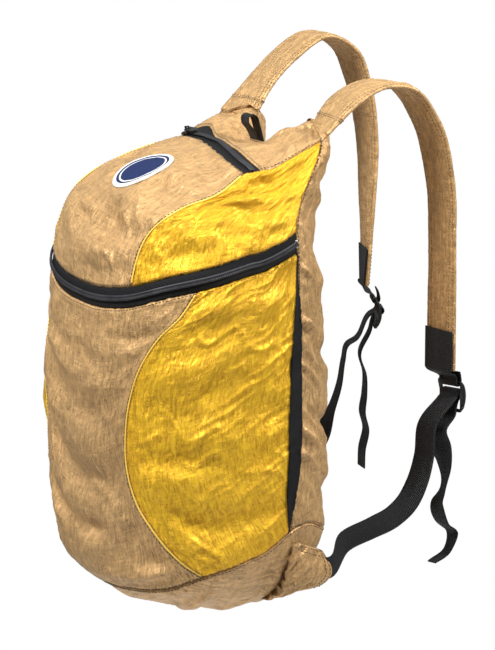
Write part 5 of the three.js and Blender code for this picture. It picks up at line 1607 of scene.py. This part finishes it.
def add_root(side, sign, line, relief):
    """Cloth drawn up round a strap's root: a loft from a loop over the ridge to the strap's own section,
    along cubic curves that leave the cloth and meet the strap in their directions, with two rows of
    stitches."""
    share = np.linspace(-1, 1, ROOT_COLUMNS)
    share = np.concatenate([share, share[-2::-1]])
    face = np.concatenate([np.ones(ROOT_COLUMNS), -np.ones(ROOT_COLUMNS - 1)])
    swell = (1 - np.abs(share) ** 8) ** 0.5
    low_turn, high_turn = RIDGE[0, 0], RIDGE[2, 0]
    turns = sign * (low_turn + high_turn) / 2 - (high_turn - low_turn) / 2 * share
    ridge = ridge_line(np.abs(turns))[:, 1]
    foot_reach = ridge - face * swell * ROOT_FOOT
    foot = cloth_at(turns, foot_reach) + cloth_normal(turns, foot_reach) * 0.5 * MM
    at = int(np.searchsorted(line["length"], ROOT_HEIGHT))
    width = line["width"][at]
    across = width / 2 * share
    rise = relief(across[:, None], line["length"][at], width, face[:, None])[:, 0]
    top = line["point"][at] + line["side"][at] * across[:, None] * 1.02
    top = top + line["up"][at] * (face * swell * (STRAP_THICKNESS / 2 + rise + ROOT_COVER))[:, None]
    way = line["way"][at]
    span = np.linalg.norm(top - foot, axis=1, keepdims=True)
    start = unit(cloth_at(turns, ridge) - foot + way * 1 * MM) * span * 0.9
    t = np.linspace(0, 1, ROOT_ROWS)[:, None, None]
    grid = (
        (2 * t**3 - 3 * t**2 + 1) * foot + (t**3 - 2 * t**2 + t) * start
        + (3 * t**2 - 2 * t**3) * top + (t**3 - t**2) * way * span
    )
    normals = -ring_normals(grid)
    over = np.stack(np.broadcast_arrays(across * face + 0 * t[..., 0], ROOT_HEIGHT * t[..., 0]), -1)
    folds = 0.7 * MM * wave(over[..., 0], 9 * MM, 61) + 1.1 * MM * crumple(over, 11 * MM, 62)
    grid = grid + normals * (folds * np.sin(np.pi * t[..., 0]) ** 0.6)[..., None]
    grid[:, -1] = grid[:, 0]
    body = grid[:, :-1]
    faces = tube_faces(*body.shape[:2])
    uvs = over[:, :-1].reshape(-1, 2)
    slot = "tan_nylon"
    add_piece(f"strap_root_{side}", body.reshape(-1, 3), faces, finish_of(slot), slot, (), uvs)
    sewing = bpy.context.scene.bag_sewing
    points, faces = joined([stitches(grid[row], normals[row], sewing) for row in ROOT_STITCH_ROWS])
    add_piece(f"strap_root_{side}_stitches", points, faces, finish_of("strap_thread"), slot)


def lock_frame(side):
    """Places in a ladder lock: a function of the distances out from the wearer's side and up, and its width's
    direction."""
    across, back, up, turn = LOCKS[side]
    centre = to_place([across, back, up])
    direction = to_side(turn, 0)
    out = np.cross([0, 0, 1], direction)
    return lambda o, u: centre + out * o + np.array([0, 0, 1]) * u, direction


def lock_bow(up):
    """How far the lock's plate bows out at a height from its middle."""
    return LOCK_BOW * (1 - (2 * up / LOCK_HEIGHT) ** 2)


TOP_BAR_UP = LOCK_HEIGHT / 2 - LOCK_BAR / 2
MIDDLE_BAR_UP = LOCK_HEIGHT * 0.08
WRAP_RADIUS = 0.95 * LOCK_BAR + GAP + WEBBING_THICKNESS / 2


def add_sleeve(side, strap):
    """Webbing sleeve on a strap's tip, taken round the lock's top bar and back up."""
    at, direction = lock_frame(side)
    tip = strap["point"][-1]
    near = np.linalg.norm(strap["point"] - tip, axis=1) < SLEEVE_LENGTH
    picked = np.flatnonzero(near)[::5]
    picked = np.append(picked[picked < len(near) - 3], len(near) - 1)
    sides = strap["side"][picked]
    out = unit(np.cross([0, 0, 1], sides))
    offset = (STRAP_THICKNESS + WEBBING_THICKNESS) / 2 + GAP
    sleeve = strap["point"][picked] - out * offset
    bar = lock_bow(TOP_BAR_UP)
    angles = np.radians([180, 225, 270, 315, 360])
    turns = [
        at(bar + np.cos(angle) * WRAP_RADIUS, TOP_BAR_UP + np.sin(angle) * WRAP_RADIUS)
        for angle in angles
    ]
    after = [
        at(bar - WRAP_RADIUS, TOP_BAR_UP + 4 * MM),
        *turns,
        at(bar + WRAP_RADIUS - 0.4 * MM, TOP_BAR_UP + 4 * MM),
        at(bar + 1.4 * MM, TOP_BAR_UP + 9 * MM),
    ]
    below = sleeve[-1] - [0, 0, STRAP_THICKNESS / 2]
    places = np.concatenate([sleeve, [below], after])
    sides = np.concatenate([sides, sides[-1:], np.tile(direction, (len(after), 1))])
    widths = np.concatenate([
        strap["width"][picked] - 2 * GAP, strap["width"][-1:] - 2 * GAP, np.full(len(after), WEBBING_WIDTH)
    ])
    line = frames_along(places, sides, widths, 0.9 * MM)
    points, faces, uvs = band(line, WEBBING_THICKNESS, 20, webbing_relief)
    node = f"strap_end_{side}"
    add_piece(f"{node}_sleeve", points, faces, finish_of("black_webbing"), "black_webbing", [node], uvs)


def add_ribbed(node, line, columns):
    """A run of ribbed webbing as a finished piece that replaces its node."""
    points, faces, uvs = band(line, WEBBING_THICKNESS, columns, webbing_relief)
    slot = "black_webbing"
    return add_piece(f"{node}_ribbed", points, faces, finish_of(slot), slot, [node], uvs)


def webbing_relief(across, along, width, face):
    """Ribs across webbing and its two thicker edges."""
    edge = width / 2 - np.abs(across)
    ribs = 0.1 * MM * np.sin(2 * np.pi * (along + np.abs(across) / 2) / (1.8 * MM))
    return ribs + 0.18 * MM * np.exp(-(((edge - 1.2 * MM) / (0.8 * MM)) ** 2))


class AddWebbing(bpy.types.Operator):
    """Lower webbing from the corner tabs through the ladder locks to the free ends, and the haul loop"""

    bl_idname = "backpack.add_webbing"
    bl_label = "Webbing"

    def execute(self, context):
        for side, sign in (("right", 1), ("left", -1)):
            at, direction = lock_frame(side)
            edge, _ = tab_point(sign, np.ones(3), np.array([0.25, 0.5, 0.75]))
            route, tail = (np.array(rows, float) for rows in (WEBBING_ROUTES[side], TAIL_ROUTES[side]))
            inside = tab_point(sign, np.array([0.7, 0.85, 0.97]), np.full(3, 0.5))
            start = inside[0] - inside[1] * 0.8 * MM + [0, 0, 2 * MM]
            bar = lock_bow(MIDDLE_BAR_UP)
            foot = lock_bow(LOCK_HEIGHT / 2 - LOCK_BAR / 2)
            angles = np.radians([180, 135, 90, 45, 0, -45, -90])
            threaded = [
                at(bar - 9 * MM, MIDDLE_BAR_UP - 4 * MM),
                *[at(bar + np.cos(a) * WRAP_RADIUS, MIDDLE_BAR_UP + np.sin(a) * WRAP_RADIUS) for a in angles],
                at(bar - 3.4 * MM, MIDDLE_BAR_UP - 5 * MM),
                at(foot - LOCK_BAR - 0.6 * MM, 4 * MM - LOCK_HEIGHT / 2),
                at(foot - LOCK_BAR - 1.6 * MM, -1 * MM - LOCK_HEIGHT / 2),
            ]
            places = np.concatenate([start, to_place(route), threaded, to_place(tail)])
            sides = np.concatenate([
                np.tile(unit(edge[2] - edge[0]), (3, 1)),
                to_side(route[:, 3], route[:, 4]),
                np.tile(direction, (len(threaded), 1)),
                to_side(tail[:, 3], tail[:, 4]),
            ])
            line = frames_along(places, sides, np.full(len(places), WEBBING_WIDTH), WEBBING_STEP)
            add_ribbed(f"lower_webbing_{side}", line, 12)
            rounded_copy(f"ladder_lock_{side}", LOCK_EDGE)
        foot = cloth_at(np.array(180.0), reach_at(RIDGE[-1, 1]))
        # Places along the haul loop: shares of its lean and of its height
        shares = np.array([
            (-0.3, 0.09), (-0.7, 0.45), (-1.15, 0.75), (-1.1, 0.94),
            (-0.75, 1.0), (-0.45, 0.93), (-0.15, 0.6), (0.18, 0.03),
        ])
        places = foot + np.stack([0 * shares[:, 0], shares[:, 0] * HAUL_LEAN, shares[:, 1] * HAUL_HEIGHT], -1)
        sides = np.tile([1.0, 0, 0], (len(places), 1))
        line = frames_along(places, sides, np.full(len(places), HAUL_WIDTH), WEBBING_STEP)
        add_ribbed("haul_loop", line, 10)
        return {"FINISHED"}


class AddStitching(bpy.types.Operator):
    """Thread dashes beside every seam of the panels, on the tabs and round the zips"""

    bl_idname = "backpack.add_stitching"
    bl_label = "Stitching"

    def execute(self, context):
        sewing = context.scene.bag_sewing
        sides = ("left", "right", "low", "high")
        for name, (_, slot) in PANELS.items():
            closed = name == "base"
            rows = [
                stitches(*inset_line(SURFACES[name], side, sewing.inset, closed), sewing)
                for side in (("high",) if closed else sides)
            ]
            points, faces = joined(rows)
            # Stitch colours darker than the cloth: painted shade of the needle holes.
            colour = "seam_thread" if slot == "tan_nylon" else "yellow_thread"
            add_piece(f"{name}_stitches", points, faces, finish_of(colour), slot)
        turn = np.full(TACK_POINTS, ZIP_END - TACK_TURN)
        reach = mixed(zip_foot(turn)[:, 1], zip_top(turn)[:, 1], np.linspace(0.25, 0.75, TACK_POINTS))
        tack = cloth_at(turn, reach) + cloth_normal(turn, reach) * 0.6 * MM
        normals = cloth_normal(turn, reach)
        rows = [stitches(tack + [0, gap * MM, 0], normals, sewing, TACK_THREAD) for gap in (0, 1)]
        add_piece("bar_tack", *joined(rows), finish_of("white_thread"), "zip_coil")
        for side in ("right", "left"):
            grid = SURFACES[f"corner_tab_{side}"]
            rows = [
                stitches(*inset_line(grid, edge, away), sewing)
                for edge in (side, "high")
                for away in (2.5 * MM, 7 * MM)
            ]
            points, faces = joined(rows)
            add_piece(f"corner_tab_{side}_stitches", points, faces, finish_of("strap_thread"), "tan_nylon")
        return {"FINISHED"}


class BackpackPanel(bpy.types.Panel):
    """Lists the pieces and their settings"""

    bl_idname = "VIEW3D_PT_backpack"
    bl_label = "Backpack"
    bl_space_type = "VIEW_3D"
    bl_region_type = "UI"
    bl_category = "Backpack"

    def draw(self, context):
        for operator in OPERATORS:
            self.layout.operator(operator.bl_idname)
        for name, group in SETTINGS.items():
            box = self.layout.box()
            box.label(text=group.__doc__)
            for setting in group.__annotations__:
                box.prop(getattr(context.scene, name), setting)


OPERATORS = (AddStage, AddPanels, AddZips, AddPiping, AddBadge, AddTabs, AddStraps, AddWebbing, AddStitching)
CLASSES = tuple(SETTINGS.values()) + OPERATORS + (BackpackPanel,)


def register():
    """Adds the classes, and the settings to the scene."""
    for kind in CLASSES:
        bpy.utils.register_class(kind)
    for name, group in SETTINGS.items():
        setattr(bpy.types.Scene, name, PointerProperty(type=group))


def unregister():
    """Takes the settings and the classes away."""
    for name in SETTINGS:
        delattr(bpy.types.Scene, name)
    for kind in reversed(CLASSES):
        bpy.utils.unregister_class(kind)


def main():
    """Builds the stage and every piece in turn."""
    register()
    bpy.ops.backpack.add_stage()
    bpy.ops.backpack.add_panels()
    bpy.ops.backpack.add_zips()
    bpy.ops.backpack.add_piping()
    bpy.ops.backpack.add_badge()
    bpy.ops.backpack.add_tabs()
    bpy.ops.backpack.add_straps()
    bpy.ops.backpack.add_webbing()
    bpy.ops.backpack.add_stitching()


if __name__ == "__main__":
    main()
